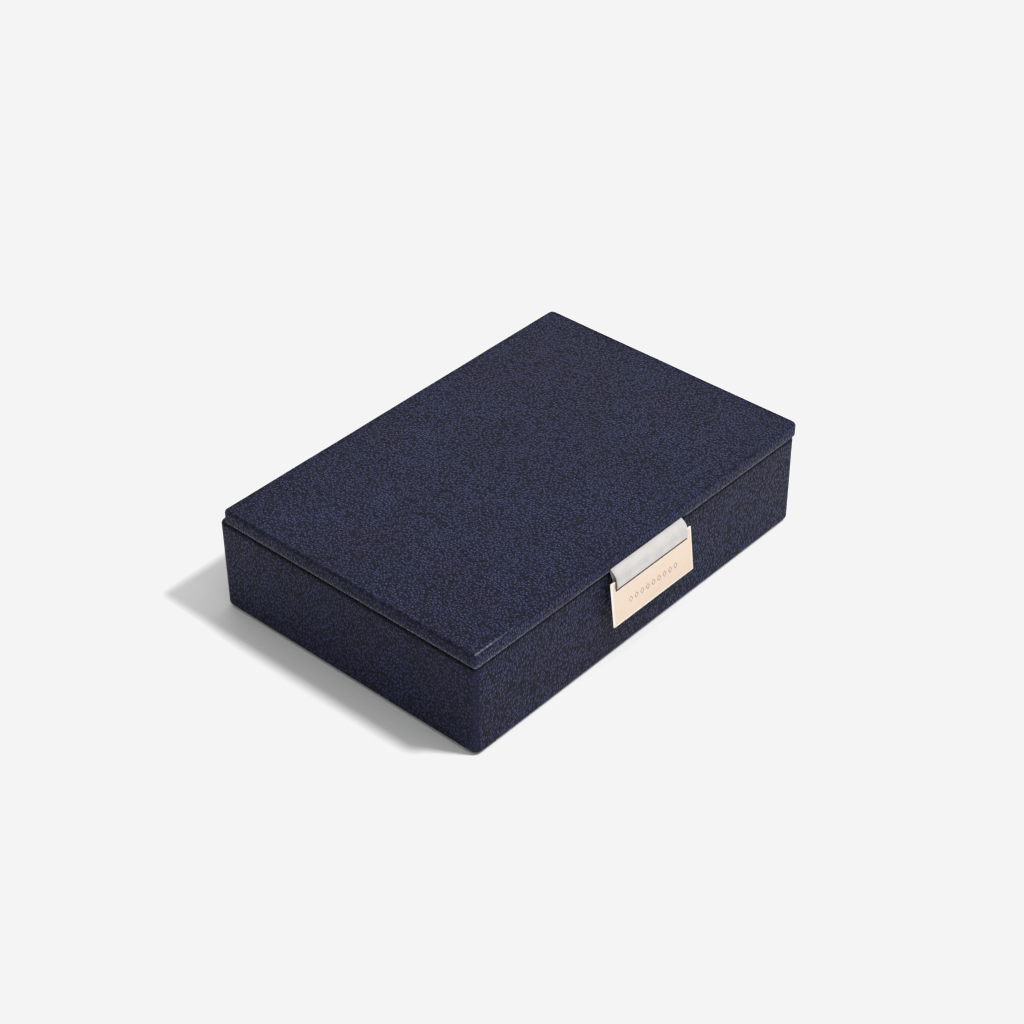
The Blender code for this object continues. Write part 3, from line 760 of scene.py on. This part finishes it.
def makeRibbon(name, line, width, thickness, material, acrossSteps, edgeRound, shiftOf=None):
    # a strip whose middle follows the (y, z) line, with softly rounded long edges
    bm = bmesh.new()
    inner = width / 2 - edgeRound
    flat = [-inner + 2 * inner * step / acrossSteps for step in range(1, acrossSteps)]
    turns = [math.pi * (step / 4 - 0.5) for step in range(5)]
    rightEdge = [(inner + edgeRound * math.cos(turn), thickness / 2 * math.sin(turn)) for turn in turns]
    section = [(x, -thickness / 2) for x in flat] + rightEdge
    section += [(-x, -off) for x, off in section]
    loops = []
    for index, point in enumerate(line):
        ahead = line[min(index + 1, len(line) - 1)] - line[max(index - 1, 0)]
        ahead.normalize()
        normal = Vector((ahead.y, -ahead.x))
        shift = shiftOf(index / (len(line) - 1), point) if shiftOf else 0.0
        loops.append([bm.verts.new((x + shift, *(point + normal * off))) for x, off in section])
    joinLoops(bm, loops)
    bm.faces.new(loops[0][::-1])
    bm.faces.new(loops[-1])
    bmesh.ops.remove_doubles(bm, verts=bm.verts, dist=0.001 * mm)
    bmesh.ops.recalc_face_normals(bm, faces=bm.faces)
    return addObject(name, toMesh(bm, name), material, smoothAngle=50)


hingeLeather = {
    "thickness": 0.8 * mm,
    "bendRadius": 1.4 * mm,
    "edgeRound": 0.2 * mm,
    "across": 40,  # quads across the strip
}


def makeHingeLeather():
    low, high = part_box("hinge_strip")
    s = hingeLeather
    half = s["thickness"] / 2
    radius = s["bendRadius"]
    standY = high.y - half
    lieZ = high.z - half
    centre = Vector((standY - radius, lieZ - radius))  # of the bend, in y and z
    line = [Vector((standY, low.z + (centre.y - low.z) * step / 12)) for step in range(12)]
    for step in range(9):
        turn = math.pi / 2 * step / 8
        line.append(centre + radius * Vector((math.cos(turn), math.sin(turn))))
    line += [Vector((centre.x + (low.y - centre.x) * step / 10, lieZ)) for step in range(1, 11)]
    width = high.x - low.x
    obj = makeRibbon("hingeLeather", line, width, s["thickness"], navyLeather, s["across"], s["edgeRound"])
    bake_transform(obj)
    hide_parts("hinge_strip")


pullPlate = {
    "thickness": 1.2 * mm,
    "lean": math.radians(6.5),
    "bar": 3.4 * mm,  # height of the bar above the slot
    "slotHeight": 2.55 * mm,
    "cornerRadius": 0.7 * mm,
    "edgeRound": 0.50 * mm,
    "rim": 0.50 * mm,  # polished border of each face
}
pullStrap = {
    "thickness": 0.7 * mm,
    "edgeRound": 0.22 * mm,
    "across": 24,  # quads across the strip
    "play": 0.3 * mm,  # round the plate's bar
    "frontFall": ((0.46, 0.14), (0.82, 0.42), (0.98, 0.78)),  # shares of the way out and down
    "rearFall": ((0.075, 0.28), (0.28, 0.62), (0.62, 0.88)),  # shares of the way back and up
    "skew": (-0.9 * mm, 0.15 * mm),  # at the lid and at the slot
}
plateJoint = next(joint for joint in frame["joints"] if joint["name"] == "plate_swing")
barY, barZ = plateJoint["pos_m"][1:]


def onPlate(out, up):
    # (y, z) of a point that far in front of the plate's middle plane and above its bar's middle
    across, along = math.cos(pullPlate["lean"]), math.sin(pullPlate["lean"])
    return Vector((barY - out * across + up * along, barZ - out * along + up * across))


def betweenEnds(start, end, shares):
    return [Vector((start.x + (end.x - start.x) * x, start.y + (end.y - start.y) * y)) for x, y in shares]


def makePullStrap():
    low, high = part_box("pull_strap")
    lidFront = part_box("lid_cover")[0].y
    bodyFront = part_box("body_cover")[0].y
    s = pullStrap
    t = s["thickness"]
    upper = high.z - t / 2
    lower = upper - t - 0.1 * mm
    reach = pullPlate["thickness"] / 2 + s["play"] + t / 2
    halfBar = pullPlate["bar"] / 2
    frontTop = onPlate(reach, halfBar)
    rearTop = onPlate(-reach, halfBar)
    start = Vector((lidFront, upper))
    overRim = Vector((bodyFront + 1.1 * mm, lower))
    points = [start, *betweenEnds(start, frontTop, s["frontFall"]), frontTop]
    for step in range(9):
        turn = math.pi * step / 8
        points.append(onPlate(reach * math.cos(turn), -halfBar - reach * math.sin(turn)))
    points += [rearTop, *betweenEnds(rearTop, overRim, s["rearFall"]), overRim]
    line = smoothLine(points, 5)
    inner = high.y
    lead = [Vector((inner + (lidFront - inner) * step / 6, upper)) for step in range(6)]
    tail = [Vector((overRim.x + (inner - overRim.x) * step / 6, lower)) for step in range(1, 7)]

    def shiftOf(share, point):
        atLid, atSlot = s["skew"]
        down = smoothStep(upper, barZ, point.y)
        out = smoothStep(lidFront + 1.5 * mm, lidFront - 1.0 * mm, point.x)
        return atLid * out * (1 - down) + atSlot * down

    whole = lead + line + tail
    width = high.x - low.x
    obj = makeRibbon("pullStrap", whole, width, t, strapLeather, s["across"], s["edgeRound"], shiftOf)
    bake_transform(obj)
    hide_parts("pull_strap")


def plateOutline(halfX, low, high, radius, inset):
    # rounded rectangle drawn in by inset, anticlockwise from its upper right corner
    kept = max(radius - inset, 0.05 * mm)
    points = []
    for index, (signX, signY) in enumerate(cornerSigns):
        y = high - inset - kept if signY > 0 else low + inset + kept
        centre = Vector((signX * (halfX - inset - kept), y))
        for step in range(7):
            turn = math.radians(90 * index + 15 * step)
            points.append(centre + kept * Vector((math.cos(turn), math.sin(turn))))
    return points


def plateMatrix():
    turn = Matrix.Rotation(math.pi / 2 - pullPlate["lean"], 4, "X")
    return Matrix.Translation((0.0, barY, barZ)) @ turn


def makePullPlate():
    # one ring of quads from the outer edge across the front to the slot and back behind
    low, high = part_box("pull_plate")
    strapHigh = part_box("pull_strap")[1]
    s = pullPlate
    lean = s["lean"]
    flat = s["thickness"] / 2
    height = (high.z - low.z - s["thickness"] * math.sin(lean)) / math.cos(lean)
    halfBar = s["bar"] / 2
    outer = (high.x, halfBar - height, halfBar, s["cornerRadius"])
    slotHalf = strapHigh.x + pullStrap["play"]
    slot = (slotHalf, -halfBar - s["slotHeight"], -halfBar, s["cornerRadius"] / 2)
    edge = s["edgeRound"]
    turns = [math.radians(22.5 * step) for step in range(5)]
    arc = [(edge * (1 - math.cos(turn)), flat - edge * (1 - math.sin(turn))) for turn in turns]
    rounded = [(inset, -z) for inset, z in reversed(arc)] + arc  # from the back face round to the front
    rim = edge + s["rim"]
    sections = [(outer, rim, -flat), *((outer, *spot) for spot in rounded), (outer, rim, flat)]
    sections += [(slot, -inset, z) for inset, z in reversed(rounded)]
    # the slot's lower edge takes the dark engraving finish as painted shade where the strap presses
    brushed, polished, dark = range(3)
    finishes = [polished] * (len(rounded) + 1) + [brushed] + [dark] * (len(rounded) - 1) + [brushed]
    bm = bmesh.new()
    loops = []
    for shape, inset, z in sections:
        loops.append([bm.verts.new((*point, z)) for point in plateOutline(*shape, inset)])
    joinLoops(bm, [*loops, loops[0]], finishes)
    bmesh.ops.recalc_face_normals(bm, faces=bm.faces)
    bm.normal_update()
    for face in bm.faces:
        if face.material_index == dark and face.normal.y < 0.2:  # only the slot's lower edge is dark
            face.material_index = polished
    mesh = toMesh(bm, "pullPlate")
    for material in (brushedGold, polishedGoldWithHighlight, engravingAndSlotShade):
        mesh.materials.append(material)
    mesh.transform(plateMatrix())
    obj = addObject("pullPlate", mesh, None, "plate", smoothAngle=35)
    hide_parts("pull_plate")


engraving = {
    "count": 9,
    "pitch": 4.4 * mm,
    "width": 2.5 * mm,
    "height": 3.3 * mm,
    "stroke": 0.24 * mm,
    "sunk": 0.15 * mm,
    "drop": 16.3 * mm,  # from the plate's top
}


def startRow(name, inputs):
    # a geometry node group with these inputs besides its geometry, each given as its label and kind
    tree = bpy.data.node_groups.new(name, "GeometryNodeTree")
    for direction in ("INPUT", "OUTPUT"):
        tree.interface.new_socket("Geometry", in_out=direction, socket_type="NodeSocketGeometry")
    keys = {}
    for label, kind in inputs.items():
        keys[label] = tree.interface.new_socket(label, in_out="INPUT", socket_type=kind).identifier
    return tree, tree.nodes.new("NodeGroupInput"), keys


def layInRow(obj, group, axis, shape, material, values, turn=None):
    # copies of the shape stand in a row along the axis, made real in place of obj's mesh
    tree, entry, keys = group
    offset = addNode(tree, "ShaderNodeCombineXYZ", {axis: entry.outputs["Pitch"]}).outputs[0]
    row = addNode(tree, "GeometryNodeMeshLine", {"Count": entry.outputs["Count"], "Offset": offset})
    inputs = {"Points": row.outputs[0], "Instance": shape}
    if turn:
        inputs["Rotation"] = turn
    copies = addNode(tree, "GeometryNodeInstanceOnPoints", inputs)
    real = addNode(tree, "GeometryNodeRealizeInstances", {0: copies.outputs[0]})
    finished = addNode(tree, "GeometryNodeSetMaterial", {"Geometry": real.outputs[0], "Material": material})
    leave = addNode(tree, "NodeGroupOutput")
    tree.links.new(finished.outputs[0], leave.inputs["Geometry"])
    modifier = obj.modifiers.new(tree.name, "NODES")
    modifier.node_group = tree
    for label, value in values.items():
        modifier[keys[label]] = value
    bake(obj)


def makeLozenge(tree, s):
    # a four-sided ring, stretched to the lozenge's size, with a round stroke
    ring = addNode(tree, "GeometryNodeCurvePrimitiveCircle", {"Resolution": 4, "Radius": 0.5}).outputs[0]
    size = (s["width"], s["height"], 1.0)
    sized = addNode(tree, "GeometryNodeTransform", {"Geometry": ring, "Scale": size}).outputs[0]
    section = {"Resolution": 8, "Radius": s["stroke"]}
    stroke = addNode(tree, "GeometryNodeCurvePrimitiveCircle", section).outputs[0]
    return addNode(tree, "GeometryNodeCurveToMesh", {"Curve": sized, "Profile Curve": stroke}).outputs[0]


def makeEngravedRow():
    s = engraving
    obj = addObject("engravedRow", bpy.data.meshes.new("engravedRow"), None)
    group = startRow("engravedRow", {"Count": "NodeSocketInt", "Pitch": "NodeSocketFloat"})
    lozenge = makeLozenge(group[0], s)
    layInRow(obj, group, "X", lozenge, engravingAndSlotShade, {"Count": s["count"], "Pitch": s["pitch"]})
    start = -(s["count"] - 1) * s["pitch"] / 2
    down = pullPlate["bar"] / 2 - s["drop"]
    shift = Vector((start, down, pullPlate["thickness"] / 2 - s["sunk"]))
    obj.data.transform(plateMatrix() @ Matrix.Translation(shift))
    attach(obj, "plate")


print("Hinge, strap and plate")
makeHingeLeather()
makePullStrap()
makePullPlate()
makeEngravedRow()


velvetPanels = {
    "edge": 0.42 * mm,
    "spacing": 4.0 * mm,
    "unevenness": 0.07 * mm,
    "waveLength": 14 * mm,
}


def axisSteps(half, radius, spacing):
    curve = [radius * math.tan(math.radians(45) * step / 4) for step in range(1, 5)]
    inner = half - radius
    count = max(1, round(2 * inner / spacing))
    middle = [-inner + 2 * inner * step / count for step in range(count + 1)]
    return [-inner - c for c in curve[::-1]] + middle + [inner + c for c in curve]


def softBoxMesh(name, low, high, radius, spacing):
    # a box with round edges and evenly spaced faces, ready to be shaped
    half = (Vector(high) - Vector(low)) / 2
    middle = (Vector(high) + Vector(low)) / 2
    steps = [axisSteps(half[axis], radius, spacing) for axis in range(3)]
    bm = bmesh.new()
    for axis in range(3):
        first, second = [a for a in range(3) if a != axis]
        for side in (-1, 1):
            rows = []
            for a in steps[first]:
                row = []
                for b in steps[second]:
                    co = Vector((0.0, 0.0, 0.0))
                    co[axis], co[first], co[second] = side * half[axis], a, b
                    inner = Vector([min(max(co[i], radius - half[i]), half[i] - radius) for i in range(3)])
                    row.append(bm.verts.new(middle + inner + (co - inner).normalized() * radius))
                rows.append(row)
            for row, nextRow in zip(rows, rows[1:]):
                for a, b, c, d in zip(row, row[1:], nextRow[1:], nextRow):
                    bm.faces.new((a, b, c, d))
    bmesh.ops.remove_doubles(bm, verts=bm.verts, dist=0.005 * mm)
    bmesh.ops.recalc_face_normals(bm, faces=bm.faces)
    return toMesh(bm, name)


def makeVelvetPanel(name, node, seed):
    low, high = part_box(node)
    s = velvetPanels
    radius = min(s["edge"], min(high - low) * 0.45)
    mesh = softBoxMesh(name, low, high, radius, s["spacing"])
    obj = addObject(name, mesh, velvet)
    ruffle(obj, s["unevenness"], s["waveLength"], seed)
    obj.data.shade_smooth()
    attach(obj, "case")
    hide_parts(node)
    return obj


def makeLinings():
    names = {
        "front_lining": "frontLining",
        "rear_lining": "rearLining",
        "left_lining": "leftLining",
        "right_lining": "rightLining",
        "long_divider": "longDivider",
        "front_divider": "frontDivider",
        "middle_divider": "middleDivider",
    }
    for seed, (node, name) in enumerate(names.items()):
        makeVelvetPanel(name, node, seed + 0.5)


def makeTrayDividers():
    # the two boards of the tray cross in a halving joint
    lengthways = makeVelvetPanel("trayDividerLong", "tray_divider_long", 11.5)
    crossways = makeVelvetPanel("trayDividerCross", "tray_divider_cross", 12.5)
    crossLow, crossHigh, crossMiddle = boxOf("tray_divider_cross")
    longLow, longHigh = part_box("tray_divider_long")
    play = 0.15 * mm
    past = 1 * mm
    half = crossMiddle.z
    notchTop = (crossHigh.x + play, longHigh.y + past, longHigh.z + past)
    cutBox(lengthways, (crossLow.x - play, longLow.y - past, half - play), notchTop)
    notchFoot = (crossLow.x - past, longLow.y - play, crossLow.z - past)
    cutBox(crossways, notchFoot, (crossHigh.x + past, longHigh.y + play, half + play))


velvetCloth = {
    "quality": 5,
    "mass": 0.15,
    "bending": 0.2,
}


def settle(obj, pressure, frames, cap, pinned=None, stiffness=15.0):
    # inflates the closed mesh for a few frames and keeps each point within cap of where it began
    start = [v.co.copy() for v in obj.data.vertices]
    if pinned:
        group = obj.vertex_groups.new(name="held")
        group.add([v.index for v in obj.data.vertices if pinned(v.co)], 1.0, "REPLACE")
    cloth = obj.modifiers.new("cloth", "CLOTH")
    settings = cloth.settings
    settings.quality = velvetCloth["quality"]
    settings.mass = velvetCloth["mass"]
    settings.tension_stiffness = stiffness
    settings.compression_stiffness = stiffness
    settings.bending_stiffness = velvetCloth["bending"]
    settings.use_pressure = True
    settings.uniform_pressure_force = pressure
    settings.effector_weights.gravity = 0.0
    if pinned:
        settings.vertex_group_mass = "held"
    cloth.collision_settings.use_collision = False
    scene = bpy.context.scene
    for frameNumber in range(1, frames + 1):
        scene.frame_set(frameNumber)
    graph = bpy.context.evaluated_depsgraph_get()
    swollen = [v.co.copy() for v in obj.evaluated_get(graph).data.vertices]
    obj.modifiers.clear()
    obj.vertex_groups.clear()
    scene.frame_set(1)
    for vert, before, after in zip(obj.data.vertices, start, swollen):
        move = after - before
        vert.co = before + move * min(1.0, cap / max(move.length, 1e-9))


ringRoll = {
    "slack": 0.55 * mm,  # how much smaller the cover starts than the roll
    "around": 36,
    "along": 44,
    "endRound": 1.6 * mm,
    "endGap": 0.8 * mm,
    "pressure": 4.0,
    "frames": 16,
    "cap": 0.9 * mm,
    "folds": 9,  # gathers at each end
    "foldDepth": 0.16 * mm,
    "unevenness": 0.10 * mm,
    "turnSeed": 4,
    "fill": 0.9,
}


def makeRollMesh(name, radius, halfLength):
    s = ringRoll
    bm = bmesh.new()
    rings = []
    edge = s["endRound"]
    inner = halfLength - edge
    stops = [(-halfLength, 0.0), (-halfLength, radius * 0.4), (-halfLength, radius * 0.75)]
    for step in range(5):
        turn = math.pi / 2 * step / 4
        stops.append((-inner - edge * math.cos(turn), radius - edge + edge * math.sin(turn)))
    stops += [(-inner + 2 * inner * step / s["along"], radius) for step in range(1, s["along"])]
    stops += [(-x, r) for x, r in stops[7::-1]]
    for x, r in stops:
        if r == 0.0:
            rings.append([bm.verts.new((x, 0.0, 0.0))])
            continue
        ring = []
        for step in range(s["around"]):
            turn = 2 * math.pi * step / s["around"]
            ring.append(bm.verts.new((x, r * math.cos(turn), r * math.sin(turn))))
        rings.append(ring)
    for first, second in zip(rings, rings[1:]):
        for index in range(s["around"]):
            following = (index + 1) % s["around"]
            a, b = first[index % len(first)], first[following % len(first)]
            c, d = second[following % len(second)], second[index % len(second)]
            corners = [v for n, v in enumerate((a, b, c, d)) if v not in (a, b, c, d)[:n]]
            bm.faces.new(corners)
    bmesh.ops.recalc_face_normals(bm, faces=bm.faces)
    return toMesh(bm, name)


def gatherEnds(obj, radius, halfLength):
    # the cloth is gathered at the ends in small folds
    s = ringRoll
    for vert in obj.data.vertices:
        across = Vector((vert.co.y, vert.co.z))
        atEnd = smoothStep(halfLength - 5 * mm, halfLength - 1 * mm, abs(vert.co.x))
        turn = math.atan2(vert.co.z, vert.co.y)
        fold = s["foldDepth"] * math.sin(turn * s["folds"]) * atEnd
        wave = s["unevenness"] * noise.noise(vert.co / (12 * mm))
        across = across * (1 + (fold + wave) / max(across.length, 1 * mm))
        if across.length > radius:
            across = across.normalized() * radius
        vert.co.y, vert.co.z = across
        vert.co.x = min(max(vert.co.x, -halfLength), halfLength)


def makeRingRolls():
    low, high, middle = boxOf("ring_roll_1")
    count = 6
    lastMiddle = boxOf(f"ring_roll_{count}")[2]
    s = ringRoll
    radius = (high.z - low.z) / 2
    halfLength = (high.x - low.x) / 2
    mesh = makeRollMesh("oneRoll", radius - s["slack"], halfLength - s["endGap"])
    obj = addObject("oneRoll", mesh, velvet)
    settle(obj, s["pressure"], s["frames"], s["cap"])
    gatherEnds(obj, radius, halfLength)
    smoother = obj.modifiers.new("finer", "SUBSURF")
    smoother.levels = smoother.render_levels = 1
    bake(obj)
    rollMesh = obj.data
    bpy.data.objects.remove(obj)
    pitch = (lastMiddle.y - middle.y) / (count - 1)
    kinds = {"Count": "NodeSocketInt", "Pitch": "NodeSocketFloat", "Seed": "NodeSocketInt"}
    group = tree, entry, keys = startRow("ringRolls", kinds)
    inputs = {"Min": (0.0, 0.0, 0.0), "Max": (6.28, 0.0, 0.0), "Seed": entry.outputs["Seed"]}
    turn = addNode(tree, "FunctionNodeRandomValue", inputs, data_type="FLOAT_VECTOR").outputs[0]
    bank = addObject("ringRolls", rollMesh, None)
    values = {"Count": count, "Pitch": pitch, "Seed": s["turnSeed"]}
    layInRow(bank, group, "Y", entry.outputs["Geometry"], velvet, values, turn)
    bank.data.transform(Matrix.Translation(middle))
    bank.data.shade_smooth()
    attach(bank, "case")
    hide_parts(*[f"ring_roll_{index + 1}" for index in range(count)])


lidPad = {
    "edge": 0.9 * mm,
    "spacing": 3.2 * mm,
    "pressure": 4.0,
    "frames": 14,
    "cap": 1.3 * mm,
    "stiffness": 8.0,
    "glued": 1.1 * mm,  # how far down from the lid's board it stays put
    "unevenness": 0.12 * mm,
    "fill": 0.5,
}


def makeLidPad():
    low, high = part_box("lid_pad")
    s = lidPad
    mesh = softBoxMesh("lidPad", low, high, s["edge"], s["spacing"])
    obj = addObject("lidPad", mesh, velvet)
    isGlued = lambda co: co.z > high.z - s["glued"]
    settle(obj, s["pressure"], s["frames"], s["cap"], isGlued, s["stiffness"])
    for vert in obj.data.vertices:
        vert.co.z = min(vert.co.z, high.z)
        vert.co.x = min(max(vert.co.x, low.x), high.x)
        vert.co.y = min(max(vert.co.y, low.y), high.y)
    ruffle(obj, s["unevenness"], 20 * mm, 5.5, lambda co: co.z > high.z - 0.4 * mm)
    obj.data.shade_smooth()
    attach(obj, "lid")
    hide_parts("lid_pad")


floorPad = {
    "edge": 0.7 * mm,
    "spacing": 2.6 * mm,
    "loft": 0.55 * mm,  # how far it rises away from a divider
    "loftReach": 9 * mm,
    "unevenness": 0.12 * mm,
    "waveLength": 22 * mm,
    "fill": 0.4,
}
dividerNodes = ("long_divider", "front_divider", "middle_divider", "tray_divider_long", "tray_divider_cross")


def makeFloorPad():
    # pressed down in a shallow line under each divider
    low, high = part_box("floor_pad")
    s = floorPad
    dividers = [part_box(node) for node in dividerNodes]
    obj = addObject("floorPad", softBoxMesh("floorPad", low, high, s["edge"], s["spacing"]), velvet)
    for vert in obj.data.vertices:
        if vert.co.z < high.z - 0.4 * mm:
            continue
        nearest = 1.0
        for dividerLow, dividerHigh in dividers:
            gapX = max(dividerLow.x - vert.co.x, vert.co.x - dividerHigh.x, 0.0)
            gapY = max(dividerLow.y - vert.co.y, vert.co.y - dividerHigh.y, 0.0)
            nearest = min(nearest, math.hypot(gapX, gapY))
        vert.co.z += s["loft"] * smoothStep(0.0, s["loftReach"], nearest)
        vert.co.z += s["unevenness"] * noise.noise(vert.co / s["waveLength"])
    obj.data.shade_smooth()
    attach(obj, "case")
    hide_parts("floor_pad")


ringBed = {
    "edge": 1.2 * mm,
    "spacing": 4.0 * mm,
    "unevenness": 0.1 * mm,
    "waveLength": 16 * mm,
    "fill": 0.8,
}


def makeRingBed():
    low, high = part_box("ring_bed")
    s = ringBed
    obj = addObject("ringBed", softBoxMesh("ringBed", low, high, s["edge"], s["spacing"]), velvet)
    ruffle(obj, s["unevenness"], s["waveLength"], 9.5)
    obj.data.shade_smooth()
    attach(obj, "case")
    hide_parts("ring_bed")


baseFelt = {
    "cornerRadius": 3.0 * mm,
    "edge": 0.25 * mm,
    "border": 3 * mm,  # from the outline to the flat middle
    "runs": (50, 34),
}


def makeBaseFelt():
    low, high, middle = boxOf("base_felt")
    half = (high - low) / 2
    s = baseFelt
    border, edge = s["border"], s["edge"]
    corners = [(border, high.z, 0.0), (0.0, high.z, edge), (0.0, low.z, edge), (border, low.z, 0.0)]
    bm = bmesh.new()
    profile = roundedProfile(corners, 3 * mm)
    keptRadius = lambda radius, inset: max(radius - inset, 0.0)
    radii = [s["cornerRadius"]] * 4
    loops = sweepLeather(bm, middle.y, half, profile, radii, s["runs"], keptRadius, lambda point: 0.0)
    bm.faces.new(loops[0])
    bm.faces.new(loops[-1][::-1])
    bmesh.ops.remove_doubles(bm, verts=bm.verts, dist=weld)
    bmesh.ops.recalc_face_normals(bm, faces=bm.faces)
    obj = addObject("baseFelt", toMesh(bm, "baseFelt"), felt, "case", smoothAngle=40)
    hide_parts("base_felt")


print("Velvet lining and dividers")
makeLinings()
makeTrayDividers()
print("Padded pieces")
makeRingRolls()
makeRingBed()
makeFloorPad()
makeLidPad()
makeBaseFelt()


room = {
    "floorColour": (0.80, 0.80, 0.80),
    "floorHalf": 4.0,
    "skyStrength": 0.93,
    "skyLean": 0.66,  # how much brighter the right side is than the left
    "lampPosition": (0.20, -0.60, 1.20),
    "lampSize": 0.16,
    "lampPower": 15.5,
    "whitePoint": 0.905,
}


def makeFloor():
    half = room["floorHalf"]
    mesh = bpy.data.meshes.new("floor")
    corners = [(signX * half, signY * half, 0.0) for signX, signY in cornerSigns]
    mesh.from_pydata(corners, [], [(0, 1, 2, 3)])
    material, tree, shader = startMaterial("floor")
    colour = (*room["floorColour"], 1.0)
    setInputs(shader, {"Base Color": colour, "Roughness": 0.9, "Specular IOR Level": 0.0})
    addObject("floor", mesh, material)


def makeLights():
    world = bpy.data.worlds.new("studio")
    bpy.context.scene.world = world
    world.use_nodes = True
    tree = world.node_tree
    background = tree.nodes["Background"]
    background.inputs["Color"].default_value = (1.0, 1.0, 1.0, 1.0)
    direction = addNode(tree, "ShaderNodeTexCoord").outputs["Generated"]
    across = addNode(tree, "ShaderNodeSeparateXYZ", {0: direction}).outputs["X"]
    leaning = mathNode(tree, "MULTIPLY_ADD", across, room["skyLean"])
    leaning.node.inputs[2].default_value = 1.0
    tree.links.new(mathNode(tree, "MULTIPLY", leaning, room["skyStrength"]), background.inputs["Strength"])
    settings = bpy.data.lights.new("keyLight", "AREA")
    settings.shape = "DISK"
    settings.size = room["lampSize"]
    settings.energy = room["lampPower"]
    settings.use_nodes = True  # no fall-off, so that the floor is evenly lit
    lampTree = settings.node_tree
    distance = Vector(room["lampPosition"]).length
    evenLight = addNode(lampTree, "ShaderNodeLightFalloff", {"Strength": 1 / distance**2}).outputs["Constant"]
    lampTree.links.new(evenLight, lampTree.nodes["Emission"].inputs["Strength"])
    lamp = bpy.data.objects.new("keyLight", settings)
    bpy.context.collection.objects.link(lamp)
    lamp.location = room["lampPosition"]
    lamp.rotation_mode = "QUATERNION"
    lamp.rotation_quaternion = (-Vector(room["lampPosition"])).to_track_quat("-Z", "Y")


def setWhitePoint():
    # anything at or past full white shows as the same pale grey
    shown = bpy.context.scene.view_settings
    shown.view_transform = "Standard"
    shown.use_curve_mapping = True
    mapping = shown.curve_mapping
    mapping.use_clip = True
    mapping.extend = "HORIZONTAL"
    combined = mapping.curves[3]
    combined.points[0].location = (0.0, 0.0)
    combined.points[-1].location = (1.0, room["whitePoint"])
    for point in combined.points:
        point.handle_type = "VECTOR"
    mapping.update()


view = {
    "position": (-0.672015, -0.605994, 0.714015),
    "forward": (0.5896311, 0.5317039, -0.6079688),
    "rollDegrees": -0.55,
    "lens": 76.65,
    "shiftX": -0.00234,
    "shiftY": 0.01592,
}


def makeCamera():
    settings = bpy.data.cameras.new("camera")
    settings.lens = view["lens"]
    settings.sensor_width = 36.0
    settings.shift_x = view["shiftX"]
    settings.shift_y = view["shiftY"]
    settings.clip_start = 0.05
    settings.clip_end = 20.0
    camera = bpy.data.objects.new("camera", settings)
    bpy.context.collection.objects.link(camera)
    turn = Vector(view["forward"]).to_track_quat("-Z", "Y").to_matrix().to_4x4()
    roll = Matrix.Rotation(math.radians(view["rollDegrees"]), 4, "Z")
    camera.matrix_world = Matrix.Translation(view["position"]) @ turn @ roll
    bpy.context.scene.camera = camera


print("Floor, lights and camera")
makeFloor()
makeLights()
setWhitePoint()
makeCamera()
